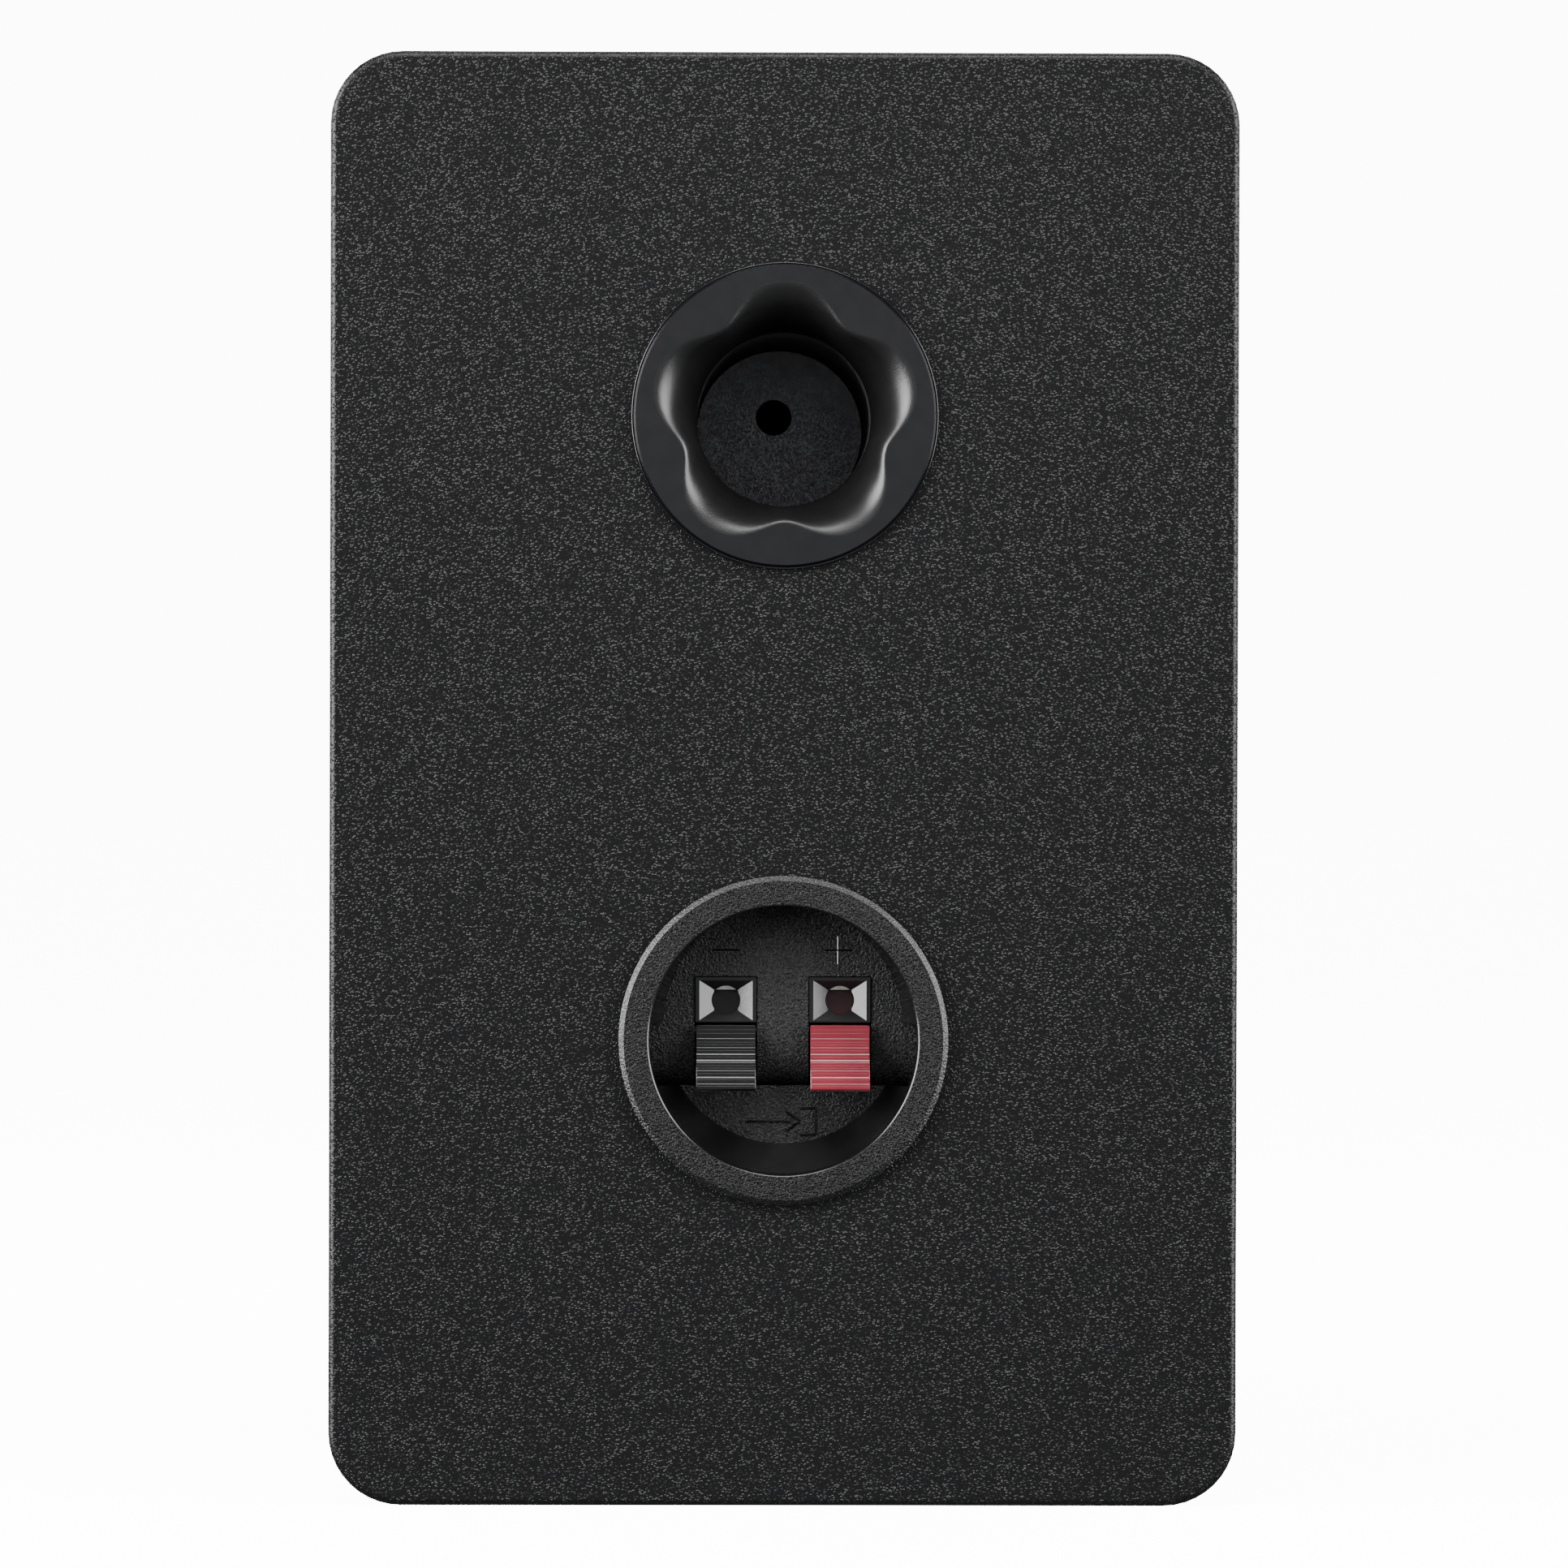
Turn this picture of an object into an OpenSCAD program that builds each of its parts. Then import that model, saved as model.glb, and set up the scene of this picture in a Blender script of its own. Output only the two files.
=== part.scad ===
// Two-way bookshelf loudspeaker, modelled as the pieces it comes apart into.
// X is the width, -Y is the front, +Y is the back and Z is up.
// The origin is the middle of the footprint, on the surface that the cabinet stands on.

/* [Cabinet] */
// Width of the cabinet
cabinet_w = 150; // [146:1:170]
// Height of the cabinet
cabinet_h = 240; // [236:1:270]
// Depth of the cabinet without the parts that stand proud of it
cabinet_d = 196; // [190:1:230]
// Radius of the four long corners
corner_r = 12; // [10:1:16]
// Thickness of the sleeve's walls
sleeve_t = 9; // [8:1:10]
// Thickness of the front baffle
baffle_t = 15; // [15:1:18]
// Thickness of the rear panel
panel_t = 9; // [9:1:10]

/* [Woofer] */
// Height of the woofer's axis above the base
woofer_z = 80; // [78:1:84]
// Outer radius of the trim ring
woofer_ring_r = 61; // [60.5:0.5:62]
// Thickness of the ferrite ring
woofer_magnet_t = 12; // [10:1:14]

/* [Tweeter] */
// Height of the tweeter's axis above the base
tweeter_z = 186; // [184:1:194]
// Outer radius of the face plate
tweeter_plate_r = 32; // [31.5:0.5:33]

/* [Port] */
// Height of the port's axis above the base
port_z = 180; // [178:1:184]
// Outer radius of the port's flange
port_flange_r = 25.3; // [24.5:0.1:27]
// Inner radius of the port's pipe
port_bore_r = 14.5; // [14:0.5:16]
// Length of the port, from the rear panel's face to its inner end
port_length = 95; // [80:1:100]

/* [Terminal cup] */
// Height of the cup's centre above the base
cup_z = 77; // [75:1:85]
// Outer radius of the bezel
cup_ring_r = 27.2; // [26.8:0.1:29]
// Radius of the cup's mouth
cup_mouth_r = 22.15; // [22:0.05:22.2]

/* [Hidden] */
$fn = 96;

front_y = -cabinet_d / 2;
back_y = cabinet_d / 2;
seam_w = 0.6;     // width of the shadow line at each end of the sleeve
seam_deep = 0.5;  // depth of that line
inner_w = cabinet_w - 2 * sleeve_t;
inner_h = cabinet_h - 2 * sleeve_t;
over = 1;         // how far a cutting shape runs past the solid that it cuts

// Woofer levels, measured outward from the baffle's face.
woofer_rebate = 5;
gasket_t = 0.8;
flange_low = -woofer_rebate + gasket_t;
flange_top = -3;
flange_r = 58.6;
screw_circle_r = 55;
woofer_screws_n = 4;
woofer_bolt_r = 2;
roll_r = 46;              // radius of the surround's crown
roll_half = 3.3;          // outer radius of the half roll
rubber_t = 0.6;
lip_top = flange_top + rubber_t;
cone_rim_r = 43.4;
cone_edge_r = 41;
cone_neck_r = 12.95;
cone_edge_z = -3.6;
cone_drop = 16.4;
cone_t = 0.7;
spider_z = -25;
ledge_r = 39.5;
basket_low = -36.2;
plate_t = 5;
top_plate_low = basket_low - plate_t;
woofer_magnet_low = top_plate_low - woofer_magnet_t;
yoke_low = woofer_magnet_low - plate_t;
pole_r = 12.1;
pole_vent_r = 4;
coil_r = 13.35;
glue_gap = 0.05;          // between a piece that bends and a piece that moves

// Tweeter levels, measured outward from the baffle's face.
tweeter_rebate = 3;
tweeter_pad = 0.6;
dome_r = 12.5;
dome_base = -4.2;
dome_rise = 5;
throat_r = 15.6;
tweeter_plate_top = 1;
tweeter_clamp_z = -4.8;
tweeter_top_low = -7.8;
tweeter_magnet_low = -15.8;
tweeter_yoke_low = -19.3;
tweeter_hole_r = 26.8;
tweeter_screw_circle_r = 28.6;
tweeter_screws_n = 4;
tweeter_bolt_r = 1.5;

// Port levels, measured outward from the rear panel's face.
port_flange_t = 1.5;
flare_length = 20;        // from the flange's face to where the mouth is round
flare_neck_r = 22.2;
flare_low = -22;
lobes = 5;
mouth_mean_r = 20.3;
lobe_swing = 2.3;         // how far the mouth's wave goes either way
lobe_flat = 0.3;          // how much its crests and troughs are flattened
pipe_wall = 1.8;
pipe_top = port_flange_t - flare_length;

// Terminal cup levels, measured outward from the rear panel's face. In its frame x runs to
// the right and y up, as seen from behind.
cup_ring_t = 2;
cup_chamfer = 1.1;
barrel_r = 24.2;
chamber_r = 22.2;
cup_low = -26;
floor_top = -7;
floor_low = -12;
floor_r = 19.8;           // the flat of the floor, which touches the wall at the top
scoop_top = -2.5;         // where the slope under the floor's lower edge meets the wall
cup_back_top = -24.4;
slot_x = 9.45;
slot_half = 5.2;
guide_half = 5.05;
slot_low_y = -7.8;
slot_high_y = 10.3;
trough_top_y = 2.6;
trough_deep = 3.5;
guide_low_y = 2.7;
guide_front = -6.7;
guide_back = -11;
wire_y = 6.3;
wire_hole_r = 2.4;
lever_half = 4.9;
pivot_y = 1;
pivot_z = -20;
pin_r = 1;
lever_bore_r = 1.06;
hub_r = 2.6;
spring_x = 3.2;           // room beside the hub for the coil
spring_r = 1.9;
spring_wire_r = 0.25;
spring_turns = 4;
strip_y = 8.85;
strip_t = 0.4;
strip_half = 2.2;
lip_y = 7.9;             // lower edge of the bent end that shows in the wire's hole
tab_low = -31;

// Crossover levels above the base.
board_w = 74;
board_d = 52;
board_t = 1.6;
board_y = 22;
spacer_h = 4;
board_low = sleeve_t + spacer_h;
board_top = board_low + board_t;
lead_r = 0.9;

// ---------- frames and outlines ----------

// Local x to the right, y up and z out of the front, at height h on the baffle's face.
module front_frame(h) {
  translate([0, front_y, h]) rotate([90, 0, 0]) children();
}

// Local x to the right, y up and z out of the back as seen from behind, at height h.
module rear_frame(h) {
  translate([0, back_y, h]) rotate([90, 0, 180]) children();
}

// A plate with round corners between two depths, standing on z = low.
module slab(w, h, low, y0, y1, r) {
  t = y1 - y0;
  translate([-w / 2, y0, low + r]) cube([w, t, h - 2 * r]);
  translate([-w / 2 + r, y0, low]) cube([w - 2 * r, t, h]);
  for (x = [-1, 1], z = [low + r, low + h - r])
    translate([x * (w / 2 - r), y0, z]) rotate([-90, 0, 0]) cylinder(r = r, h = t);
}

module tube(r_in, r_out, low, high) {
  translate([0, 0, low]) difference() {
    cylinder(r = r_out, h = high - low);
    translate([0, 0, -over]) cylinder(r = r_in, h = high - low + 2 * over);
  }
}

module disc(r, low, high) {
  translate([0, 0, low]) cylinder(r = r, h = high - low);
}

module block(low, high) {
  translate(low) cube(high - low);
}

// A profile in the y-z plane, drawn out along x.
module along_x(length) {
  rotate([90, 0, 90]) linear_extrude(height = length, center = true) children();
}

function arc(cx, cy, r, a0, a1, n) =
  [for (i = [0:n]) let (a = a0 + (a1 - a0) * i / n) [cx + r * cos(a), cy + r * sin(a)]];

// ---------- sweeps ----------

function unit(v) = v / norm(v);
function clamp_to(i, n) = min(max(i, 0), n);

// One point of a smooth curve through the route, between points i and i + 1.
function spline_at(p, i, t) =
  let (n = len(p) - 1, a = p[clamp_to(i - 1, n)], b = p[i], c = p[clamp_to(i + 1, n)],
       d = p[clamp_to(i + 2, n)])
  0.5 * (2 * b + (c - a) * t + (2 * a - 5 * b + 4 * c - d) * t * t
         + (3 * b - a - 3 * c + d) * t * t * t);

function smooth(p, steps) =
  concat([for (i = [0:len(p) - 2], k = [0:steps - 1]) spline_at(p, i, k / steps)],
         [p[len(p) - 1]]);

function heading(p, i) = unit(p[clamp_to(i + 1, len(p) - 1)] - p[clamp_to(i - 1, len(p) - 1)]);

// A round wire of radius r along the points p. No stretch of it may run along side.
module wire(p, r, side, sides = 8) {
  n = len(p);
  points = [for (i = [0:n - 1]) let (t = heading(p, i), u = unit(cross(side, t)), v = cross(t, u))
            for (k = [0:sides - 1]) p[i] + r * (cos(360 * k / sides) * u + sin(360 * k / sides) * v)];
  around = [for (i = [0:n - 2], k = [0:sides - 1])
            let (a = i * sides + k, b = i * sides + (k + 1) % sides)
            [a, a + sides, b + sides, b]];
  start = [[for (k = [0:sides - 1]) k]];
  end = [[for (k = [sides - 1:-1:0]) (n - 1) * sides + k]];
  polyhedron(points, concat(start, around, end), convexity = 4);
}

// ---------- cabinet ----------

module cabinet_sleeve() {
  y0 = front_y + baffle_t;
  y1 = back_y - panel_t;
  color([0.07, 0.07, 0.075]) difference() {
    union() {
      slab(cabinet_w, cabinet_h, 0, y0 + seam_w, y1 - seam_w, corner_r);
      slab(cabinet_w - 2 * seam_deep, cabinet_h - 2 * seam_deep, seam_deep, y0, y1,
           corner_r - seam_deep);
    }
    slab(inner_w, inner_h, sleeve_t, y0 - over, y1 + over, corner_r - sleeve_t);
  }
}

module front_baffle() {
  color([0.05, 0.05, 0.055]) difference() {
    slab(cabinet_w, cabinet_h, 0, front_y, front_y + baffle_t, corner_r);
    front_frame(woofer_z) {
      disc(59.6, -woofer_rebate, over);
      disc(50.5, -baffle_t - over, 0);
      for (k = [0:woofer_screws_n - 1]) rotate(45 + 90 * k) translate([screw_circle_r, 0, 0])
        disc(woofer_bolt_r, -14, 0);
    }
    front_frame(tweeter_z) {
      disc(tweeter_plate_r + 0.3, -tweeter_rebate, over);
      disc(tweeter_hole_r, -baffle_t - over, 0);
      for (k = [0:tweeter_screws_n - 1]) rotate(45 + 90 * k)
        translate([tweeter_screw_circle_r, 0, 0]) disc(tweeter_bolt_r, -13, 0);
    }
  }
}

module rear_panel() {
  color([0.06, 0.06, 0.065]) difference() {
    slab(cabinet_w, cabinet_h, 0, back_y - panel_t, back_y, corner_r);
    rear_frame(port_z) disc(flare_neck_r + 0.1, -panel_t - over, over);
    rear_frame(cup_z) disc(barrel_r + 0.1, -panel_t - over, over);
  }
}

// Wadding that lines the two side walls, clear of the drivers and the port.
module side_wadding() {
  color("ghostwhite") for (x = [-1, 1])
    translate([x * (inner_w / 2 - 5.3), -8, 112]) cube([10, 110, 160], center = true);
}

// ---------- woofer ----------

module woofer_bolts_at() {
  for (k = [0:woofer_screws_n - 1]) rotate(45 + 90 * k) translate([screw_circle_r, 0, 0]) children();
}

module woofer_trim_ring() {
  r = woofer_ring_r;
  color([0.12, 0.12, 0.125]) front_frame(woofer_z) difference() {
    rotate_extrude() polygon([
      [49.5, lip_top], [52.2, lip_top], [52.2, flange_top], [flange_r, flange_top], [flange_r, 0],
      [r, 0], [r, 0.8], [r - 0.35, 1.65], [r - 1.2, 2], [53.2, 2], [51, 1.1], [49.5, -0.6]
    ]);
    woofer_bolts_at() {
      disc(woofer_bolt_r + 0.2, flange_top - over, 3);
      disc(3.4, 0.2, 3);
    }
  }
}

module woofer_screws() {
  color([0.16, 0.16, 0.17]) front_frame(woofer_z) woofer_bolts_at() difference() {
    union() {
      disc(3.2, 0.2, 1.8);
      disc(woofer_bolt_r, -13, 0.2);
    }
    translate([0, 0, 0.7]) cylinder(r = 1.7, h = 2, $fn = 6);
  }
}

module woofer_gasket() {
  color([0.1, 0.1, 0.1]) front_frame(woofer_z) difference() {
    tube(50.5, flange_r, -woofer_rebate, flange_low);
    woofer_bolts_at() disc(woofer_bolt_r + 0.2, -woofer_rebate - over, 0);
  }
}

module woofer_basket() {
  color([0.2, 0.2, 0.21]) front_frame(woofer_z) difference() {
    rotate_extrude() polygon([
      [46.5, flange_top], [46.5, -4], [ledge_r, spider_z], [35, spider_z], [35, -35], [14, -35],
      [14, basket_low], [36.2, basket_low], [36.2, -26.2], [40.6, -26.2], [47.9, flange_low],
      [flange_r, flange_low], [flange_r, flange_top]
    ]);
    for (k = [0:5]) rotate(60 * k + 30) {
      block([30, -14, -22], [60, 14, -8]);
      block([30, -7, -33], [38, 7, -28]);
    }
    woofer_bolts_at() disc(woofer_bolt_r + 0.2, flange_low - over, 0);
  }
}

// A half roll of rubber with a flat lip on each side.
module woofer_surround() {
  inner = roll_half - rubber_t;
  color([0.05, 0.05, 0.05]) front_frame(woofer_z) rotate_extrude() polygon(concat(
    [[52.2, flange_top], [52.2, lip_top]],
    arc(roll_r, lip_top, roll_half, 0, 180, 14),
    [[40.6, lip_top], [40.6, flange_top + glue_gap], [roll_r - inner, flange_top + glue_gap]],
    arc(roll_r, lip_top, inner, 180, 0, 14),
    [[roll_r + inner, flange_top]]
  ));
}

function cone_top(r) = cone_edge_z - cone_drop * pow((cone_edge_r - r) / (cone_edge_r - cone_neck_r), 0.9);

module woofer_cone() {
  steps = 12;
  radii = [for (i = [0:steps]) cone_edge_r + (cone_neck_r - cone_edge_r) * i / steps];
  color([0.13, 0.13, 0.14]) front_frame(woofer_z) rotate_extrude() polygon(concat(
    [[cone_rim_r, cone_edge_z - cone_t / 2], [cone_rim_r, flange_top], [cone_edge_r - 0.6, flange_top]],
    [for (r = radii) [r, cone_top(r)]],
    [for (i = [steps:-1:0]) [radii[i], cone_top(radii[i]) - cone_t]]
  ));
}

module woofer_dust_cap() {
  base_r = 17.5;
  rise = 6;
  base_z = -17.4;
  r = (base_r * base_r + rise * rise) / (2 * rise);
  color([0.08, 0.08, 0.085]) front_frame(woofer_z) difference() {
    intersection() {
      translate([0, 0, base_z + rise - r]) sphere(r = r);
      disc(base_r, base_z, 0);
    }
    translate([0, 0, base_z + rise - r]) sphere(r = r - 0.5);
  }
}

module woofer_coil_former() {
  color([0.75, 0.6, 0.4]) front_frame(woofer_z) tube(12.6, cone_neck_r, -46, cone_edge_z - cone_drop);
}

module woofer_coil_winding() {
  color([0.72, 0.35, 0.15]) front_frame(woofer_z) tube(cone_neck_r, coil_r, -45, -33);
}

// Corrugated cloth disc that centres the coil.
module woofer_spider() {
  r0 = cone_neck_r + glue_gap;
  r1 = 35.3;
  waves = 5;
  steps = 40;
  cloth_t = 0.5;
  line = [for (i = [0:steps]) [r0 + (r1 - r0) * i / steps,
                               spider_z + 0.05 + 1.1 * pow(sin(180 * i / steps), 0.5) * sin(360 * waves * i / steps)]];
  color([0.62, 0.5, 0.2]) front_frame(woofer_z) rotate_extrude() polygon(concat(
    line, [[ledge_r - 0.3, spider_z], [ledge_r - 0.3, spider_z + cloth_t]],
    [for (i = [steps:-1:0]) line[i] + [0, cloth_t]]
  ));
}

module woofer_top_plate() {
  color([0.55, 0.56, 0.58]) front_frame(woofer_z) tube(13.8, 32, top_plate_low, basket_low);
}

module woofer_magnet() {
  color([0.15, 0.15, 0.16]) front_frame(woofer_z) tube(17, 36, woofer_magnet_low, top_plate_low);
}

module woofer_yoke() {
  color([0.55, 0.56, 0.58]) front_frame(woofer_z) difference() {
    union() {
      disc(32, yoke_low, woofer_magnet_low);
      disc(pole_r, woofer_magnet_low - over, basket_low - 0.5);
    }
    disc(pole_vent_r, yoke_low - over, 0);
  }
}

module woofer_terminal_board() {
  color([0.35, 0.22, 0.1]) front_frame(woofer_z) difference() {
    block([-12, -38.6, -33.5], [12, -34.5, -27.5]);
    disc(36.2, -40, -20);
  }
}

module woofer_terminal_tabs() {
  color("gold") front_frame(woofer_z) for (x = [-7, 7]) difference() {
    block([x - 2.4, -39.4, -44], [x + 2.4, -38.6, -27.5]);
    translate([x, -36, -41]) rotate([90, 0, 0]) cylinder(r = 0.8, h = 8, $fn = 24);
  }
}

module woofer_tinsel_leads() {
  color([0.75, 0.55, 0.35]) front_frame(woofer_z) for (x = [-7, 7])
    wire(smooth([[x * 0.7, -23, -15.9], [x * 0.8, -28, -18], [x * 0.9, -34, -19.5], [x, -40, -19],
                 [x, -42.6, -21], [x, -42, -25], [x, -40.1, -29]], 3), 0.6, [1, 0, 0]);
}

// ---------- tweeter ----------

module tweeter_bolts_at() {
  for (k = [0:tweeter_screws_n - 1]) rotate(45 + 90 * k)
    translate([tweeter_screw_circle_r, 0, 0]) children();
}

module tweeter_face_plate() {
  r = tweeter_plate_r;
  rear = -tweeter_rebate + tweeter_pad;
  color([0.05, 0.05, 0.055]) front_frame(tweeter_z) difference() {
    rotate_extrude() polygon(concat(
      [[throat_r, dome_base], [21, dome_base], [21, rear], [r, rear], [r, 0.4],
       [r - 0.6, tweeter_plate_top], [25.6, tweeter_plate_top]],
      arc(25.6, tweeter_plate_top - 9.6, 9.6, 96, 143, 8)
    ));
    tweeter_bolts_at() {
      disc(tweeter_bolt_r + 0.2, -5, 3);
      translate([0, 0, -0.9]) cylinder(r1 = tweeter_bolt_r + 0.2, r2 = 3.5, h = 2);
    }
  }
}

module tweeter_screws() {
  color([0.16, 0.16, 0.17]) front_frame(tweeter_z) tweeter_bolts_at() difference() {
    union() {
      translate([0, 0, -0.9]) cylinder(r1 = tweeter_bolt_r, r2 = 3, h = 1.6);
      disc(tweeter_bolt_r, -12, -0.9);
    }
    for (a = [0, 90]) rotate(a) block([-1.7, -0.3, -0.2], [1.7, 0.3, 3]);
  }
}

module tweeter_gasket() {
  color([0.1, 0.1, 0.1]) front_frame(tweeter_z) difference() {
    tube(tweeter_hole_r, tweeter_plate_r, -tweeter_rebate, -tweeter_rebate + tweeter_pad);
    tweeter_bolts_at() disc(tweeter_bolt_r + 0.2, -5, 0);
  }
}

module tweeter_dome() {
  r = (dome_r * dome_r + dome_rise * dome_rise) / (2 * dome_rise);
  centre = dome_base + dome_rise - r;
  color([0.07, 0.07, 0.08]) front_frame(tweeter_z) difference() {
    intersection() {
      translate([0, 0, centre]) sphere(r = r);
      disc(dome_r, dome_base, 3);
    }
    translate([0, 0, centre]) sphere(r = r - 0.35);
  }
}

module tweeter_surround() {
  inner = 1.1;
  outer = 1.4;
  crown = dome_r + glue_gap + outer;
  color([0.07, 0.07, 0.08]) front_frame(tweeter_z) rotate_extrude() polygon(concat(
    [[19, tweeter_clamp_z], [19, dome_base]],
    arc(crown, dome_base, outer, 0, 180, 8),
    arc(crown, dome_base, inner, 180, 0, 8),
    [[crown + inner, tweeter_clamp_z]]
  ));
}

module tweeter_voice_coil() {
  color([0.72, 0.35, 0.15]) front_frame(tweeter_z) tube(12.1, dome_r, -9.3, dome_base);
}

module tweeter_top_plate() {
  color([0.55, 0.56, 0.58]) front_frame(tweeter_z) tube(12.9, 25, tweeter_top_low, tweeter_clamp_z);
}

module tweeter_magnet() {
  color([0.15, 0.15, 0.16]) front_frame(tweeter_z) tube(15, 26, tweeter_magnet_low, tweeter_top_low);
}

module tweeter_yoke() {
  color([0.55, 0.56, 0.58]) front_frame(tweeter_z) difference() {
    union() {
      disc(25, tweeter_yoke_low, tweeter_magnet_low);
      disc(11.7, tweeter_magnet_low - over, tweeter_clamp_z - 0.4);
    }
    disc(3, tweeter_yoke_low - over, 0);
  }
}

module tweeter_terminal_board() {
  color([0.35, 0.22, 0.1]) front_frame(tweeter_z)
    block([-10, -24, tweeter_yoke_low - 1.6], [10, -17, tweeter_yoke_low]);
}

module tweeter_terminal_tabs() {
  low = tweeter_yoke_low - 1.6;
  color("gold") front_frame(tweeter_z) for (x = [-6, 6]) difference() {
    block([x - 1.6, -20.4, low - 9], [x + 1.6, -19.6, low]);
    translate([x, -17, low - 6.5]) rotate([90, 0, 0]) cylinder(r = 0.7, h = 6, $fn = 24);
  }
}

// ---------- bass reflex port ----------

// Radius of the mouth's wall at an angle and a depth below the flange's face. One lobe
// points straight up.
function mouth_r(angle, depth) =
  let (turn = lobes * (angle - 90),
       face_r = mouth_mean_r + lobe_swing * cos(turn) - lobe_flat * cos(2 * turn))
  port_bore_r + (face_r - port_bore_r) * (1 - sqrt(1 - pow(1 - depth / flare_length, 2)));

// The hollow of the flared mouth, as rings of points.
module flare_hollow() {
  sides = 60;
  depths = [0, 0.1, 0.4, 1, 2.2, 4.5, 8, 13, flare_length];
  rings = concat([[depths[0], port_flange_t + 1]], [for (d = depths) [d, port_flange_t - d]],
                 [[flare_length, flare_low - 1]]);
  n = len(rings);
  points = [for (g = rings, k = [0:sides - 1]) let (a = 360 * k / sides, r = mouth_r(a, g[0]))
            [r * cos(a), r * sin(a), g[1]]];
  around = [for (i = [0:n - 2], k = [0:sides - 1])
            let (a = i * sides + k, b = i * sides + (k + 1) % sides)
            [a, b, b + sides, a + sides]];
  top = [[for (k = [sides - 1:-1:0]) k]];
  bottom = [[for (k = [0:sides - 1]) (n - 1) * sides + k]];
  polyhedron(points, concat(top, around, bottom), convexity = 4);
}

module port_flare() {
  color([0.05, 0.05, 0.055]) rear_frame(port_z) difference() {
    union() {
      disc(port_flange_r, 0, port_flange_t);
      disc(flare_neck_r, flare_low, 0);
    }
    flare_hollow();
    disc(port_bore_r + pipe_wall, flare_low - over, pipe_top);
  }
}

module port_pipe() {
  bell = 8;
  bell_r = 3.5;
  r = port_bore_r;
  color([0.08, 0.08, 0.085]) rear_frame(port_z) rotate_extrude() polygon(concat(
    [[r, pipe_top], [r, -port_length + bell]],
    [for (t = [1:6]) [r + bell_r * (1 - cos(15 * t)), -port_length + bell - bell * sin(15 * t)]],
    [[r + bell_r + 1, -port_length]],
    [for (t = [5:-1:0]) [r + pipe_wall + bell_r * (1 - cos(15 * t)), -port_length + bell - bell * sin(15 * t)]],
    [[r + pipe_wall, pipe_top]]
  ));
}

// ---------- terminal cup ----------

module at_slots() {
  for (x = [-slot_x, slot_x]) translate([x, 0, 0]) children();
}

// The floor falls away below the wire holes, to leave room under the levers.
module finger_trough() {
  steps = 8;
  run = trough_top_y - slot_low_y;
  along_x(60) polygon(concat(
    [[slot_low_y, 5], [trough_top_y, 5]],
    [for (i = [0:steps]) let (t = 0.98 * i / steps)
     [trough_top_y - run * i / steps, floor_top - trough_deep * (1 - sqrt(1 - t * t))]]
  ));
}

module cup_shell() {
  difference() {
    union() {
      disc(cup_ring_r, 0, cup_ring_t - cup_chamfer);
      translate([0, 0, cup_ring_t - cup_chamfer])
        cylinder(r1 = cup_ring_r, r2 = cup_ring_r - cup_chamfer, h = cup_chamfer);
      disc(barrel_r, cup_low, 0);
      for (k = [0:3]) rotate(45 + 90 * k)
        block([barrel_r - 1, -4, -panel_t - 2.2], [barrel_r + 1.3, 4, -panel_t - 0.1]);
    }
    disc(cup_mouth_r, scoop_top, cup_ring_t + over);
    hull() {
      translate([0, cup_mouth_r - floor_r, 0]) disc(floor_r, floor_top, floor_top + 0.01);
      disc(cup_mouth_r, scoop_top, scoop_top + 0.01);
    }
    disc(chamber_r, cup_low - over, floor_low);
    intersection() {
      finger_trough();
      disc(cup_mouth_r, floor_low - over, cup_ring_t + over);
    }
    at_slots() block([-slot_half, slot_low_y, floor_low - over], [slot_half, slot_high_y, 0]);
    difference() {
      disc(26.4, -over, gasket_t);
      disc(barrel_r + 0.4, -2 * over, 2);
    }
  }
}

// Ribs behind the floor carry the pin, and shelves carry the contact strips.
module cup_ribs() {
  difference() {
    for (x = [[-16.7, -14.7], [-4.2, 4.2], [14.7, 16.7]])
      block([x[0], -3, cup_back_top], [x[1], 5, floor_low]);
    translate([0, pivot_y, pivot_z]) rotate([0, 90, 0]) cylinder(r = pin_r, h = 60, center = true);
  }
  at_slots() block([-2.5, strip_y + strip_t, cup_back_top], [2.5, 11.6, floor_low]);
}

module polarity_marks() {
  mark_y = 14.65;
  half = 2.3;
  w = 0.18;
  for (x = [-slot_x, slot_x - 0.3])
    block([x - half, mark_y - w, floor_top], [x + half, mark_y + w, floor_top + 0.3]);
  block([slot_x - 0.3 - w, mark_y - half, floor_top], [slot_x - 0.3 + w, mark_y + half, floor_top + 0.3]);
}

// A raised arrow that points into a bracket, for the signal that goes in.
module input_mark() {
  w = 0.4;
  translate([0, -13.8, floor_top]) {
    block([-6, -w / 2, 0], [1, w / 2, 0.3]);
    linear_extrude(height = 0.3) polygon([[0.5, -1.4], [3, 0], [0.5, 1.4]]);
    block([5.2, -2, 0], [5.2 + w, 2, 0.3]);
    for (y = [-2, 2 - w]) block([2.6, y, 0], [5.2 + w, y + w, 0.3]);
  }
}

module terminal_cup() {
  color([0.05, 0.05, 0.055]) rear_frame(cup_z) {
    cup_shell();
    cup_ribs();
    polarity_marks();
    input_mark();
  }
}

module terminal_gasket() {
  color([0.1, 0.1, 0.1]) rear_frame(cup_z) tube(barrel_r + 0.4, 26.4, 0, gasket_t);
}

module terminal_back_plate() {
  color([0.3, 0.18, 0.08]) rear_frame(cup_z) difference() {
    disc(chamber_r, cup_low, cup_back_top);
    at_slots() block([-strip_half, strip_y, cup_low - over], [strip_half, strip_y + strip_t, 0]);
  }
}

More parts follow.
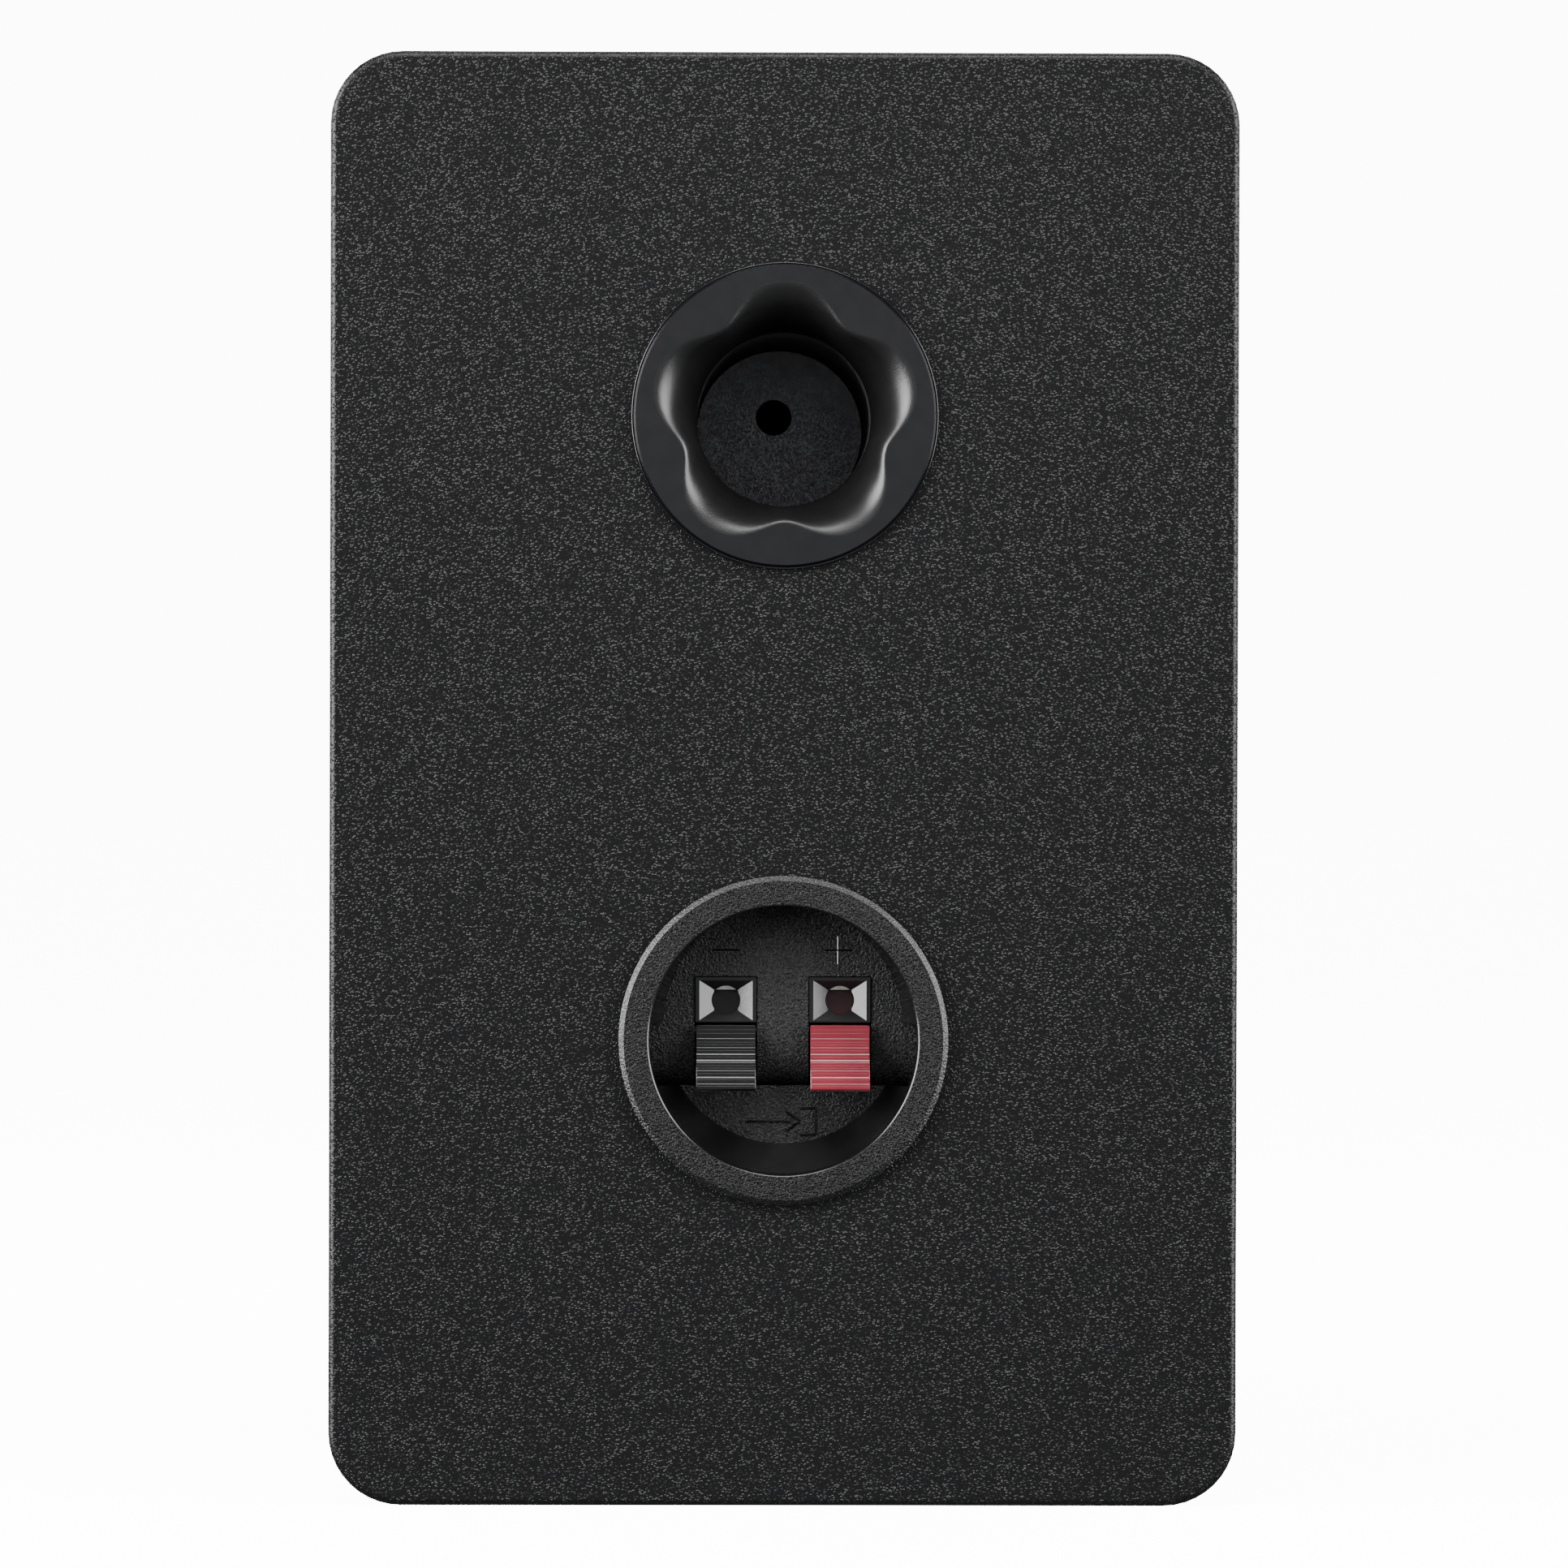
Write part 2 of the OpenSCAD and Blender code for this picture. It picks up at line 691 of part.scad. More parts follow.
// A frame with a four-sided funnel that leads the bare wire into its hole.
module wire_guide(side) {
  mid_y = wire_y;
  outer = [4.4, 3.3];
  inner = [2.45, 1.65];
  deep = 1.25;
  at = [outer, inner];
  points = [for (k = [0, 1], s = [[-1, -1], [1, -1], [1, 1], [-1, 1]])
            [s[0] * at[k][0], mid_y + s[1] * at[k][1], guide_front - k * deep]];
  lip = [for (i = [0:3]) points[i] + [0, 0, 0.01]];
  color([0.05, 0.05, 0.055]) rear_frame(cup_z) translate([side * slot_x, 0, 0]) difference() {
    block([-guide_half, guide_low_y, guide_back], [guide_half, slot_high_y - 0.15, guide_front]);
    polyhedron(concat(lip, [for (i = [4:7]) points[i]]),
               [[3, 2, 1, 0], [4, 5, 6, 7], [0, 1, 5, 4], [1, 2, 6, 5], [2, 3, 7, 6], [3, 0, 4, 7]]);
    translate([0, mid_y, 0]) disc(wire_hole_r, guide_back - over, 0);
  }
}

module wire_guide_negative() { wire_guide(-1); }
module wire_guide_positive() { wire_guide(1); }

// The thumb rest is a ribbed scoop. Its neck goes in through the slot to the hub, and an arm
// behind the wire hole pinches the wire.
module lever_profile() {
  ribs = 12;
  top_y = 2.2;
  scoop_z = -5.6;
  scoop_r = 12.1;
  sweep = 58;
  polygon(concat(
    [for (i = [0:2 * ribs]) let (a = 270 - sweep * i / (2 * ribs), r = scoop_r - (i % 2) * 0.22)
     [top_y + r * cos(a), scoop_z + scoop_r + r * sin(a)]],
    [[-8.5, -0.6], [-8, -1.5], [-6, -3.4], [-4.9, -5], [-4.3, -7], [-4.1, -9.5], [-2.4, -14],
     [-1.5, -20.5], [1, -22.5], [3.4, -20.5], [4.4, -17.2], [8.07, -14.6], [8.07, -12.8],
     [top_y, -12.8]]
  ));
}

module lever(side, tint) {
  color(tint) rear_frame(cup_z) translate([side * slot_x, 0, 0]) difference() {
    union() {
      along_x(2 * lever_half) lever_profile();
      translate([0, pivot_y, pivot_z]) rotate([0, 90, 0])
        cylinder(r = hub_r, h = 2 * lever_half, center = true);
    }
    translate([0, pivot_y, pivot_z]) rotate([0, 90, 0])
      cylinder(r = lever_bore_r, h = 20, center = true);
    translate([-lever_half - over, pivot_y, pivot_z]) rotate([0, 90, 0])
      cylinder(r = 3.6, h = spring_x + over);
  }
}

module lever_negative() { lever(-1, [0.06, 0.06, 0.065]); }
module lever_positive() { lever(1, [0.75, 0.2, 0.25]); }

module lever_pin() {
  color("silver") rear_frame(cup_z) translate([0, pivot_y, pivot_z]) rotate([0, 90, 0])
    cylinder(r = pin_r, h = 33.2, center = true);
}

// A torsion spring beside the hub: one leg bears on the back plate, the other on the lever.
module lever_spring(side) {
  start_x = -lever_half + 0.4;
  pitch = 0.62;
  per_turn = 12;
  n = spring_turns * per_turn;
  coil = [for (i = [0:n]) let (a = 360 * i / per_turn)
          [start_x + pitch * i / per_turn, pivot_y + spring_r * cos(a), pivot_z + spring_r * sin(a)]];
  back_leg = [[start_x, pivot_y + spring_r, cup_back_top + 0.3], [start_x, pivot_y + spring_r, pivot_z - 2]];
  end_x = start_x + pitch * spring_turns;
  lever_leg = [[end_x, pivot_y + spring_r - 0.2, pivot_z + 1.2], [end_x, pivot_y + spring_r - 0.8, pivot_z + 2.6]];
  color("silver") rear_frame(cup_z) translate([side * slot_x, 0, 0])
    wire(concat(back_leg, coil, lever_leg), spring_wire_r, [1, 0, 0], 6);
}

module lever_spring_negative() { lever_spring(-1); }
module lever_spring_positive() { lever_spring(1); }

module contact(side) {
  color([0.8, 0.78, 0.72]) rear_frame(cup_z) translate([side * slot_x, 0, 0]) difference() {
    union() {
      block([-strip_half, strip_y, tab_low], [strip_half, strip_y + strip_t, -11.2]);
      block([-strip_half, lip_y, -11.6], [strip_half, strip_y + strip_t, -11.2]);
    }
    translate([0, strip_y - 2, tab_low + 2]) rotate([-90, 0, 0]) cylinder(r = 0.7, h = 5, $fn = 24);
  }
}

module contact_negative() { contact(-1); }
module contact_positive() { contact(1); }

// ---------- crossover ----------

module at_board_corners() {
  for (x = [-1, 1], y = [-1, 1])
    translate([x * (board_w / 2 - 4), board_y + y * (board_d / 2 - 4), 0]) children();
}

module crossover_board() {
  color([0.1, 0.35, 0.2]) difference() {
    block([-board_w / 2, board_y - board_d / 2, board_low], [board_w / 2, board_y + board_d / 2, board_top]);
    at_board_corners() disc(1.7, board_low - over, board_top + over);
  }
}

module crossover_spacers() {
  color([0.8, 0.8, 0.78]) at_board_corners() tube(1.7, 3.2, sleeve_t, board_low);
}

module crossover_screws() {
  color("silver") at_board_corners() difference() {
    union() {
      disc(2.9, board_top, board_top + 1.8);
      disc(1.5, sleeve_t + 0.3, board_top);
    }
    for (a = [0, 90]) rotate(a) block([-1.6, -0.3, board_top + 0.8], [1.6, 0.3, board_top + 3]);
  }
}

inductor_at = [-20, board_y + 4, board_top];

module inductor_bobbin() {
  color([0.12, 0.12, 0.12]) translate(inductor_at) difference() {
    union() {
      disc(13.5, 0, 1.2);
      disc(13.5, 13.8, 15);
      disc(6.5, 0, 15);
    }
    disc(5, -over, 16);
  }
}

module inductor_winding() {
  color([0.72, 0.35, 0.15]) translate(inductor_at) tube(6.5, 12.6, 1.2, 13.8);
}

module tweeter_capacitor() {
  color([0.75, 0.65, 0.3]) translate([15, board_y + 12, board_top + 6.5]) rotate([0, 90, 0])
    cylinder(r = 6.5, h = 30, center = true);
}

module woofer_capacitor() {
  color([0.1, 0.15, 0.35]) translate([24, board_y - 8, board_top + 5]) rotate([0, 90, 0])
    cylinder(r = 5, h = 16, center = true);
}

module tweeter_resistor() {
  color([0.9, 0.9, 0.88]) block([-6, board_y - 19, board_top], [16, board_y - 14, board_top + 9]);
}

// ---------- wiring ----------

// From a solder tab of the cup down to the board's near edge.
module input_lead(side) {
  x = -side * slot_x;
  z = cup_z + strip_y;
  wire(smooth([[x, 66.3, z - 0.9], [x, 62, z - 4], [x * 1.1, 58, z - 18], [x * 1.3, 56, z - 40],
               [x * 1.4, 53, 28], [x * 1.3, 47, 19], [x * 1.2, 42, 15.7]], 3), lead_r, [1, 0, 0]);
}

module input_lead_negative() { color([0.06, 0.06, 0.06]) input_lead(-1); }
module input_lead_positive() { color([0.7, 0.1, 0.1]) input_lead(1); }

// From the board to one tab of the woofer and one of the tweeter.
module driver_leads(side) {
  tag_y = front_y + 43;
  wire(smooth([[side * 7, tag_y, 39.6], [side * 8, tag_y + 4, 34], [side * 10, tag_y + 12, 27],
               [side * 13, -30, 20], [side * 16, -14, 17], [side * 17, -3, 15.7]], 3),
       lead_r, [1, 0, 0]);
  top_y = front_y + 28;
  top_z = tweeter_z - 20.5 - lead_r;
  wire(smooth([[side * 6, top_y, top_z], [side * 9, top_y + 9, top_z - 3], [side * 20, top_y + 16, 147],
               [side * 34, top_y + 20, 118], [side * 43, top_y + 24, 85], [side * 45, -40, 52],
               [side * 41, -26, 30], [side * 33, -14, 19], [side * 27, -2, 15.7]], 3),
       lead_r, [0.2, 1, 0.1]);
}

module driver_leads_negative() { color([0.06, 0.06, 0.06]) driver_leads(-1); }
module driver_leads_positive() { color([0.7, 0.1, 0.1]) driver_leads(1); }

// ---------- nodes ----------

cabinet_sleeve();
front_baffle();
rear_panel();
side_wadding();
woofer_trim_ring();
woofer_screws();
woofer_gasket();
woofer_basket();
woofer_surround();
woofer_cone();
woofer_dust_cap();
woofer_coil_former();
woofer_coil_winding();
woofer_spider();
woofer_top_plate();
woofer_magnet();
woofer_yoke();
woofer_terminal_board();
woofer_terminal_tabs();
woofer_tinsel_leads();
tweeter_face_plate();
tweeter_screws();
tweeter_gasket();
tweeter_dome();
tweeter_surround();
tweeter_voice_coil();
tweeter_top_plate();
tweeter_magnet();
tweeter_yoke();
tweeter_terminal_board();
tweeter_terminal_tabs();
port_flare();
port_pipe();
terminal_cup();
terminal_gasket();
terminal_back_plate();
wire_guide_negative();
wire_guide_positive();
lever_negative();
lever_positive();
lever_pin();
lever_spring_negative();
lever_spring_positive();
contact_negative();
contact_positive();
crossover_board();
crossover_spacers();
crossover_screws();
inductor_bobbin();
inductor_winding();
tweeter_capacitor();
woofer_capacitor();
tweeter_resistor();
input_lead_negative();
input_lead_positive();
driver_leads_negative();
driver_leads_positive();
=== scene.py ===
"""Looks for the bookshelf speaker: film-wrapped cabinet, lobed port, terminal cup, woofer and tweeter.

Lengths in the shape functions are millimetres. put() turns them into metres in the row frame.
"""

import math

import bmesh
import bpy
from mathutils import Matrix, Vector, noise


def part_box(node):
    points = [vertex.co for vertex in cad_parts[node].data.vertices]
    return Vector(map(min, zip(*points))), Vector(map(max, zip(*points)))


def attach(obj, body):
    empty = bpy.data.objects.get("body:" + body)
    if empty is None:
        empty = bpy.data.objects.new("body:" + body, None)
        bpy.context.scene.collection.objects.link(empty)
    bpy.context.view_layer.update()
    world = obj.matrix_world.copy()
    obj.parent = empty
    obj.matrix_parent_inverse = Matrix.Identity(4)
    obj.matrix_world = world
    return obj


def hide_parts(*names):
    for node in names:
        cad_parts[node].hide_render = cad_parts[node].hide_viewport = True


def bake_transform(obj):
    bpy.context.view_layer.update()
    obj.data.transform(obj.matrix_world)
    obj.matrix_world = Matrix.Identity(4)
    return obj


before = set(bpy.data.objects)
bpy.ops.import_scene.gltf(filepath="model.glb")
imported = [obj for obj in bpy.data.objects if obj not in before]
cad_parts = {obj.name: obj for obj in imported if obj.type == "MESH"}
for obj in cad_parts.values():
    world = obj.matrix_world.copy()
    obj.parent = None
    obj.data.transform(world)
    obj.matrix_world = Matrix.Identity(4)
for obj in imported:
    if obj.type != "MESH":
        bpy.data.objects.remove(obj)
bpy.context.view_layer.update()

MM = 0.001
WHITE = 12.0     # strength of the floor and of the backdrop as the camera sees them
WORLD = Matrix.Identity(4)


# ---------- places, all read from the frame ----------

def middle(node):
    low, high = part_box(node)
    return (low + high) / 2 / MM


def facing_front(height):
    """Local x to the right, y up and z out of the baffle, in millimetres."""
    return Matrix.Translation((0, FRONT, height)) @ Matrix.Rotation(math.pi / 2, 4, "X")


def facing_back(height):
    """Local x to the right, y up and z out of the rear panel as seen from behind."""
    return (Matrix.Translation((0, BACK, height)) @ Matrix.Rotation(math.pi, 4, "Z")
            @ Matrix.Rotation(math.pi / 2, 4, "X"))


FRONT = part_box("front_baffle")[0].y / MM
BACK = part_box("rear_panel")[1].y / MM
BAFFLE_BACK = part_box("front_baffle")[1].y / MM
PANEL_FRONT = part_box("rear_panel")[0].y / MM
WIDTH = 2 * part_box("cabinet_sleeve")[1].x / MM
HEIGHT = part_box("cabinet_sleeve")[1].z / MM
CORNER, WALL = 12.0, 9.0
WOOFER = facing_front(middle("woofer_trim_ring").z)
TWEETER = facing_front(middle("tweeter_face_plate").z)
PORT_Z = middle("port_flare").z
CUP_Z = middle("terminal_cup").z
PORT = facing_back(PORT_Z)
CUP = facing_back(CUP_Z)


# ---------- meshes ----------

def linked(name, data):
    """A new object in the scene."""
    obj = bpy.data.objects.new(name, data)
    bpy.context.scene.collection.objects.link(obj)
    return obj


def mesh_from(name, bm):
    mesh = bpy.data.meshes.new(name)
    bm.to_mesh(mesh)
    bm.free()
    return mesh


def put(name, verts, faces, place=WORLD, smooth=True):
    """A mesh object from points in millimetres, in the row frame in metres."""
    mesh = bpy.data.meshes.new(name)
    mesh.from_pydata([place @ Vector(v) * MM for v in verts], [], faces)
    mesh.validate()
    bm = bmesh.new()
    bm.from_mesh(mesh)
    bmesh.ops.remove_doubles(bm, verts=bm.verts, dist=1e-7)
    bmesh.ops.recalc_face_normals(bm, faces=bm.faces)
    bm.to_mesh(mesh)
    bm.free()
    for face in mesh.polygons:
        face.use_smooth = smooth
    return linked(name, mesh)


def move_to(obj, place):
    """Takes a mesh that was made at the origin to its place."""
    obj.data.transform(Matrix.Scale(MM, 4) @ place @ Matrix.Scale(1 / MM, 4))


def arc(x, y, radius, angles):
    """Points of a circle at angles in degrees."""
    return [(x + radius * math.cos(a), y + radius * math.sin(a)) for a in map(math.radians, angles)]


def rounded(corners, steps=4):
    """A closed profile. Each corner (x, y, radius) becomes an arc that touches both of its sides."""
    points = []
    count = len(corners)
    for i, (x, y, radius) in enumerate(corners):
        here = Vector((x, y))
        before = Vector(corners[i - 1][:2]) - here
        after = Vector(corners[(i + 1) % count][:2]) - here
        turn = before.angle(after) if radius else 0
        if not radius or turn > math.pi - 0.02:
            points.append((x, y))
            continue
        reach = min(radius / math.tan(turn / 2), 0.45 * before.length, 0.45 * after.length)
        radius = reach * math.tan(turn / 2)
        bisector = (before.normalized() + after.normalized()).normalized()
        centre = here + bisector * radius / math.sin(turn / 2)
        start = here + before.normalized() * reach - centre
        end = here + after.normalized() * reach - centre
        sweep = start.angle_signed(end)
        for k in range(steps + 1):
            points.append(tuple(centre + Matrix.Rotation(-sweep * k / steps, 2) @ start))
    return points


def ring(radius, z, sides, shift=0.0, shape=None):
    """Points round the axis; shape(angle) scales or replaces the radius, and shift moves the ring up."""
    points = []
    for k in range(sides):
        a = 2 * math.pi * k / sides
        r = shape(a) if shape else radius
        points.append((r * math.cos(a), shift + r * math.sin(a), z))
    return points


def loft(name, rings, place=WORLD, cap=False, closed=False):
    """Skin over rings of equal count, with flat caps, or joined back to the first ring."""
    sides = len(rings[0])
    verts = [p for r in rings for p in r]
    faces = []
    for i in range(len(rings) if closed else len(rings) - 1):
        j = (i + 1) % len(rings)
        for k in range(sides):
            m = (k + 1) % sides
            faces.append((i * sides + k, i * sides + m, j * sides + m, j * sides + k))
    if cap:
        faces.append(tuple(range(sides)))
        faces.append(tuple((len(rings) - 1) * sides + k for k in range(sides)))
    return put(name, verts, faces, place)


def lathe(name, profile, place=WORLD, sides=128):
    """A closed profile of (radius, z) turned about the local z axis. Points at radius 0 close the ends."""
    if min(p[0] for p in profile) > 1e-6:
        return loft(name, [ring(r, z, sides) for r, z in profile], place, closed=True)
    body = [p for p in profile if p[0] > 1e-6]
    return loft(name, [ring(r, z, sides) for r, z in body], place, cap=True)


def rod(name, radius, low, high, place=WORLD, sides=64):
    """A cylinder along z to cut with."""
    return lathe(name, [(0, low), (radius, low), (radius, high), (0, high)], place, sides)


def dome_profile(base_r, rise, base, steps):
    """(radius, z) pairs of a shallow dome, from its middle out to its rim."""
    sphere_r = (base_r ** 2 + rise ** 2) / (2 * rise)
    radii = [base_r * math.sin(math.pi / 2 * i / steps) for i in range(steps + 1)]
    return [(max(r, 1e-3), base + rise - sphere_r + math.sqrt(sphere_r ** 2 - r * r)) for r in radii]


def prism(name, outline, low, high):
    """An outline in the y-z plane drawn out along x."""
    count = len(outline)
    verts = [(x, y, z) for x in (low, high) for y, z in outline]
    faces = [(k, (k + 1) % count, count + (k + 1) % count, count + k) for k in range(count)]
    faces += [tuple(range(count)), tuple(range(count, 2 * count))]
    return put(name, verts, faces, smooth=False)


def block(name, low, high):
    outline = [(low[1], low[2]), (high[1], low[2]), (high[1], high[2]), (low[1], high[2])]
    return prism(name, outline, low[0], high[0])


def boolean(target, tool, operation="DIFFERENCE"):
    """Cuts a mesh with a second one, which is then removed."""
    modifier = target.modifiers.new("cut", "BOOLEAN")
    modifier.object, modifier.operation, modifier.solver = tool, operation, "EXACT"
    apply_modifiers(target)
    bpy.data.objects.remove(tool)


def apply_modifiers(obj):
    graph = bpy.context.evaluated_depsgraph_get()
    mesh = bpy.data.meshes.new_from_object(obj.evaluated_get(graph))
    obj.modifiers.clear()
    obj.data = mesh


def joined(name, objects):
    """One object from several, keeping their meshes as they are."""
    bm = bmesh.new()
    for o in objects:
        bm.from_mesh(o.data)
        bpy.data.objects.remove(o)
    return linked(name, mesh_from(name, bm))


def smoothed(obj, sharp=None):
    """Smooth shading, broken at edges that turn more than an angle in degrees."""
    for face in obj.data.polygons:
        face.use_smooth = True
    if sharp:
        obj.data.set_sharp_from_angle(angle=math.radians(sharp))
    return obj


def edges_rounded(obj, width, angle=40, convex=False):
    """Rounds the edges that turn more than an angle, or only the convex ones, by a width in millimetres."""
    smoothed(obj, 24)
    bevel = obj.modifiers.new("edges", "BEVEL")
    bevel.width, bevel.segments = width * MM, 2
    bevel.limit_method, bevel.angle_limit = "ANGLE", math.radians(angle)
    if convex:
        weigh_convex_edges(obj, math.radians(angle))
        bevel.limit_method = "WEIGHT"
    return even_normals(obj)


def weigh_convex_edges(obj, angle):
    """Marks the convex edges sharper than an angle, so inner corners stay crisp."""
    bm = bmesh.new()
    bm.from_mesh(obj.data)
    weight = bm.edges.layers.float.new("bevel_weight_edge")
    for edge in bm.edges:
        if len(edge.link_faces) == 2 and edge.is_convex and edge.calc_face_angle() > angle:
            edge[weight] = 1.0
    bm.to_mesh(obj.data)
    bm.free()


def even_normals(obj):
    normals = obj.modifiers.new("normals", "WEIGHTED_NORMAL")
    normals.keep_sharp, normals.weight = True, 100
    return obj


def sweep(name, path, radius, sides, place):
    """A round wire along points, with its own frame carried from point to point."""
    points = [Vector(p) for p in path]
    last = len(points) - 1
    rings, side = [], None
    for i, p in enumerate(points):
        along = (points[min(i + 1, last)] - points[max(i - 1, 0)]).normalized()
        side = side or along.orthogonal().normalized()
        side = (side - along * side.dot(along)).normalized()
        up = along.cross(side)
        rings.append([p + radius * (math.cos(t) * side + math.sin(t) * up)
                      for t in (2 * math.pi * k / sides for k in range(sides))])
    return loft(name, rings, place, cap=True)


def spline(points, steps):
    """A smooth curve through the points, the same one that the CAD's wires follow."""
    p = [Vector(q) for q in points]
    last = len(p) - 1
    curve = []
    for i in range(last):
        a, b, c, d = p[max(i - 1, 0)], p[i], p[i + 1], p[min(i + 2, last)]
        for k in range(steps):
            t = k / steps
            curve.append(0.5 * (2 * b + (c - a) * t + (2 * a - 5 * b + 4 * c - d) * t * t
                                + (3 * b - a - 3 * c + d) * t * t * t))
    return curve + [p[-1]]


# ---------- materials ----------

class Nodes:
    """A short way to write a material's node tree."""

    def __init__(self, name, roughness=0.5, metallic=0.0, specular=0.5):
        self.material = bpy.data.materials.new(name)
        self.material.use_nodes = True
        self.tree = self.material.node_tree
        self.shader = self.tree.nodes["Principled BSDF"]
        self.shader.inputs["Roughness"].default_value = roughness
        self.shader.inputs["Metallic"].default_value = metallic
        self.shader.inputs["Specular IOR Level"].default_value = specular
        self.coords = self.add("ShaderNodeTexCoord").outputs["Object"]

    def add(self, kind, **values):
        node = self.tree.nodes.new(kind)
        for key, value in values.items():
            setattr(node, key, value)
        return node

    def link(self, source, target):
        self.tree.links.new(source, target)

    def stretched(self, scale):
        mapping = self.add("ShaderNodeMapping")
        mapping.inputs["Scale"].default_value = scale
        self.link(self.coords, mapping.inputs["Vector"])
        return mapping.outputs["Vector"]

    def noise(self, size, detail=2.0, rough=0.5, vector=None):
        """Noise whose features are about size millimetres across."""
        node = self.add("ShaderNodeTexNoise")
        node.inputs["Scale"].default_value = 1 / (size * MM)
        node.inputs["Detail"].default_value = detail
        node.inputs["Roughness"].default_value = rough
        self.link(vector or self.coords, node.inputs["Vector"])
        return node.outputs["Fac"]

    def cells(self, size):
        node = self.add("ShaderNodeTexVoronoi")
        node.inputs["Scale"].default_value = 1 / (size * MM)
        self.link(self.coords, node.inputs["Vector"])
        return node.outputs["Distance"]

    def bands(self, size, direction):
        """Parallel ridges that repeat every 2 pi times size millimetres."""
        node = self.add("ShaderNodeTexWave", wave_type="BANDS", bands_direction=direction)
        node.inputs["Scale"].default_value = 0.05 / (size * MM)
        self.link(self.coords, node.inputs["Vector"])
        return node.outputs["Fac"]

    def math(self, operation, a, b):
        node = self.add("ShaderNodeMath", operation=operation)
        for socket, value in zip(node.inputs, (a, b)):
            if isinstance(value, (int, float)):
                socket.default_value = value
            else:
                self.link(value, socket)
        return node.outputs["Value"]

    def spread(self, source, low, high, start=0.3, end=0.7):
        """Maps a noise value onto a range."""
        node = self.add("ShaderNodeMapRange", interpolation_type="SMOOTHSTEP")
        for key, value in (("From Min", start), ("From Max", end), ("To Min", low), ("To Max", high)):
            node.inputs[key].default_value = value
        self.link(source, node.inputs["Value"])
        return node.outputs["Result"]

    def colours(self, source, stops):
        node = self.add("ShaderNodeValToRGB")
        ramp = node.color_ramp
        while len(ramp.elements) < len(stops):
            ramp.elements.new(0.5)
        for element, (at, colour) in zip(ramp.elements, stops):
            element.position, element.color = at, (*colour, 1)
        self.link(source, node.inputs["Fac"])
        self.link(node.outputs["Color"], self.shader.inputs["Base Color"])

    def rough(self, source):
        self.link(source, self.shader.inputs["Roughness"])

    def bump(self, height, depth):
        """Relief of depth millimetres."""
        node = self.add("ShaderNodeBump")
        node.inputs["Strength"].default_value = 1.0
        node.inputs["Distance"].default_value = depth * MM
        self.link(height, node.inputs["Height"])
        self.link(node.outputs["Normal"], self.shader.inputs["Normal"])


def grey(value, blue=1.0):
    """A grey, cooler where blue is above 1."""
    return (value, value, value * blue)


def film():
    """Black film with a sandy grain, as it wraps the cabinet; the grain's peaks carry painted glints, a
    lighter colour on their tops.
    """
    n = Nodes("black_film", roughness=0.28, specular=0.22)
    grains = n.spread(n.cells(0.42), 1, 0, start=0.05, end=0.5)
    peaks = n.math("MULTIPLY", grains, n.spread(n.noise(0.8, detail=1), 0.5, 1.0))
    n.bump(n.math("ADD", peaks, n.math("MULTIPLY", n.noise(0.28), 0.5)), 0.09)
    # Painted glints: the colour is lighter on the grain's peaks, standing in for light caught by their
    # tops.
    n.colours(peaks, [(0.04, grey(0.0044, 1.06)), (0.55, grey(0.0142, 1.06))])
    return n.material


def moulded(name, shade, blue=1.05, roughness=0.28, grain=0.012):
    """Smooth satin moulding with a very slight flow in its gloss."""
    n = Nodes(name, roughness=roughness, specular=0.5)
    n.colours(n.noise(14, detail=3), [(0.3, grey(shade * 0.9, blue)), (0.7, grey(shade * 1.1, blue))])
    n.rough(n.spread(n.noise(3.0, detail=4), roughness - 0.015, roughness + 0.015))
    n.bump(n.noise(0.2, detail=2), grain)
    return n.material


def spark_grain(name, shade, specular=0.2, depth=0.3):
    """Moulding with a fine spark-eroded grain, whose high spots carry painted glints."""
    n = Nodes(name, roughness=0.26, specular=specular)
    n.bump(n.noise(0.36, detail=2, rough=0.6), depth)
    # Painted glints: lighter specks that follow the grain's high spots stand in for light caught by them.
    n.colours(n.noise(0.36, detail=2), [(0.4, grey(shade * 0.4)), (0.68, grey(shade * 2.2, 1.06))])
    return n.material


def lever_plastic(name, light, dark):
    n = Nodes(name, roughness=0.2, specular=0.5)
    n.colours(n.noise(5, detail=3), [(0.3, dark), (0.7, light)])
    n.rough(n.spread(n.noise(1.2, detail=3), 0.17, 0.26))
    n.bump(n.noise(0.4, detail=3), 0.006)
    return n.material


def satin_paint(name, shade, roughness, metallic=0.0):
    n = Nodes(name, roughness=roughness, metallic=metallic)
    n.colours(n.noise(9, detail=3), [(0.3, grey(shade * 0.9)), (0.7, grey(shade * 1.12, 1.03))])
    n.rough(n.spread(n.noise(0.8, detail=3), roughness - 0.05, roughness + 0.06))
    n.bump(n.noise(0.35, detail=3, rough=0.6), 0.012)
    return n.material


def rubber():
    n = Nodes("surround_rubber", roughness=0.55, specular=0.4)
    n.colours(n.noise(6, detail=4), [(0.3, grey(0.012)), (0.7, grey(0.022))])
    n.rough(n.spread(n.noise(2.0, detail=4), 0.48, 0.62))
    n.bump(n.noise(0.22, detail=3), 0.008)
    return n.material


def foam():
    n = Nodes("gasket_foam", roughness=0.9, specular=0.2)
    n.colours(n.noise(0.5, detail=3), [(0.3, grey(0.008)), (0.7, grey(0.03))])
    n.bump(n.cells(0.5), 0.1)
    return n.material


def pressed_fibre():
    """Coated paper of the cone, with short fibres lying every way."""
    n = Nodes("pressed_fibre", roughness=0.6, specular=0.35)
    one = n.noise(0.5, detail=4, rough=0.65, vector=n.stretched((1, 1, 0.25)))
    two = n.noise(0.5, detail=4, rough=0.65, vector=n.stretched((0.25, 1, 1)))
    n.bump(n.math("ADD", one, two), 0.05)
    n.colours(n.noise(1.1, detail=4), [(0.3, grey(0.016)), (0.7, grey(0.036, 1.06))])
    return n.material


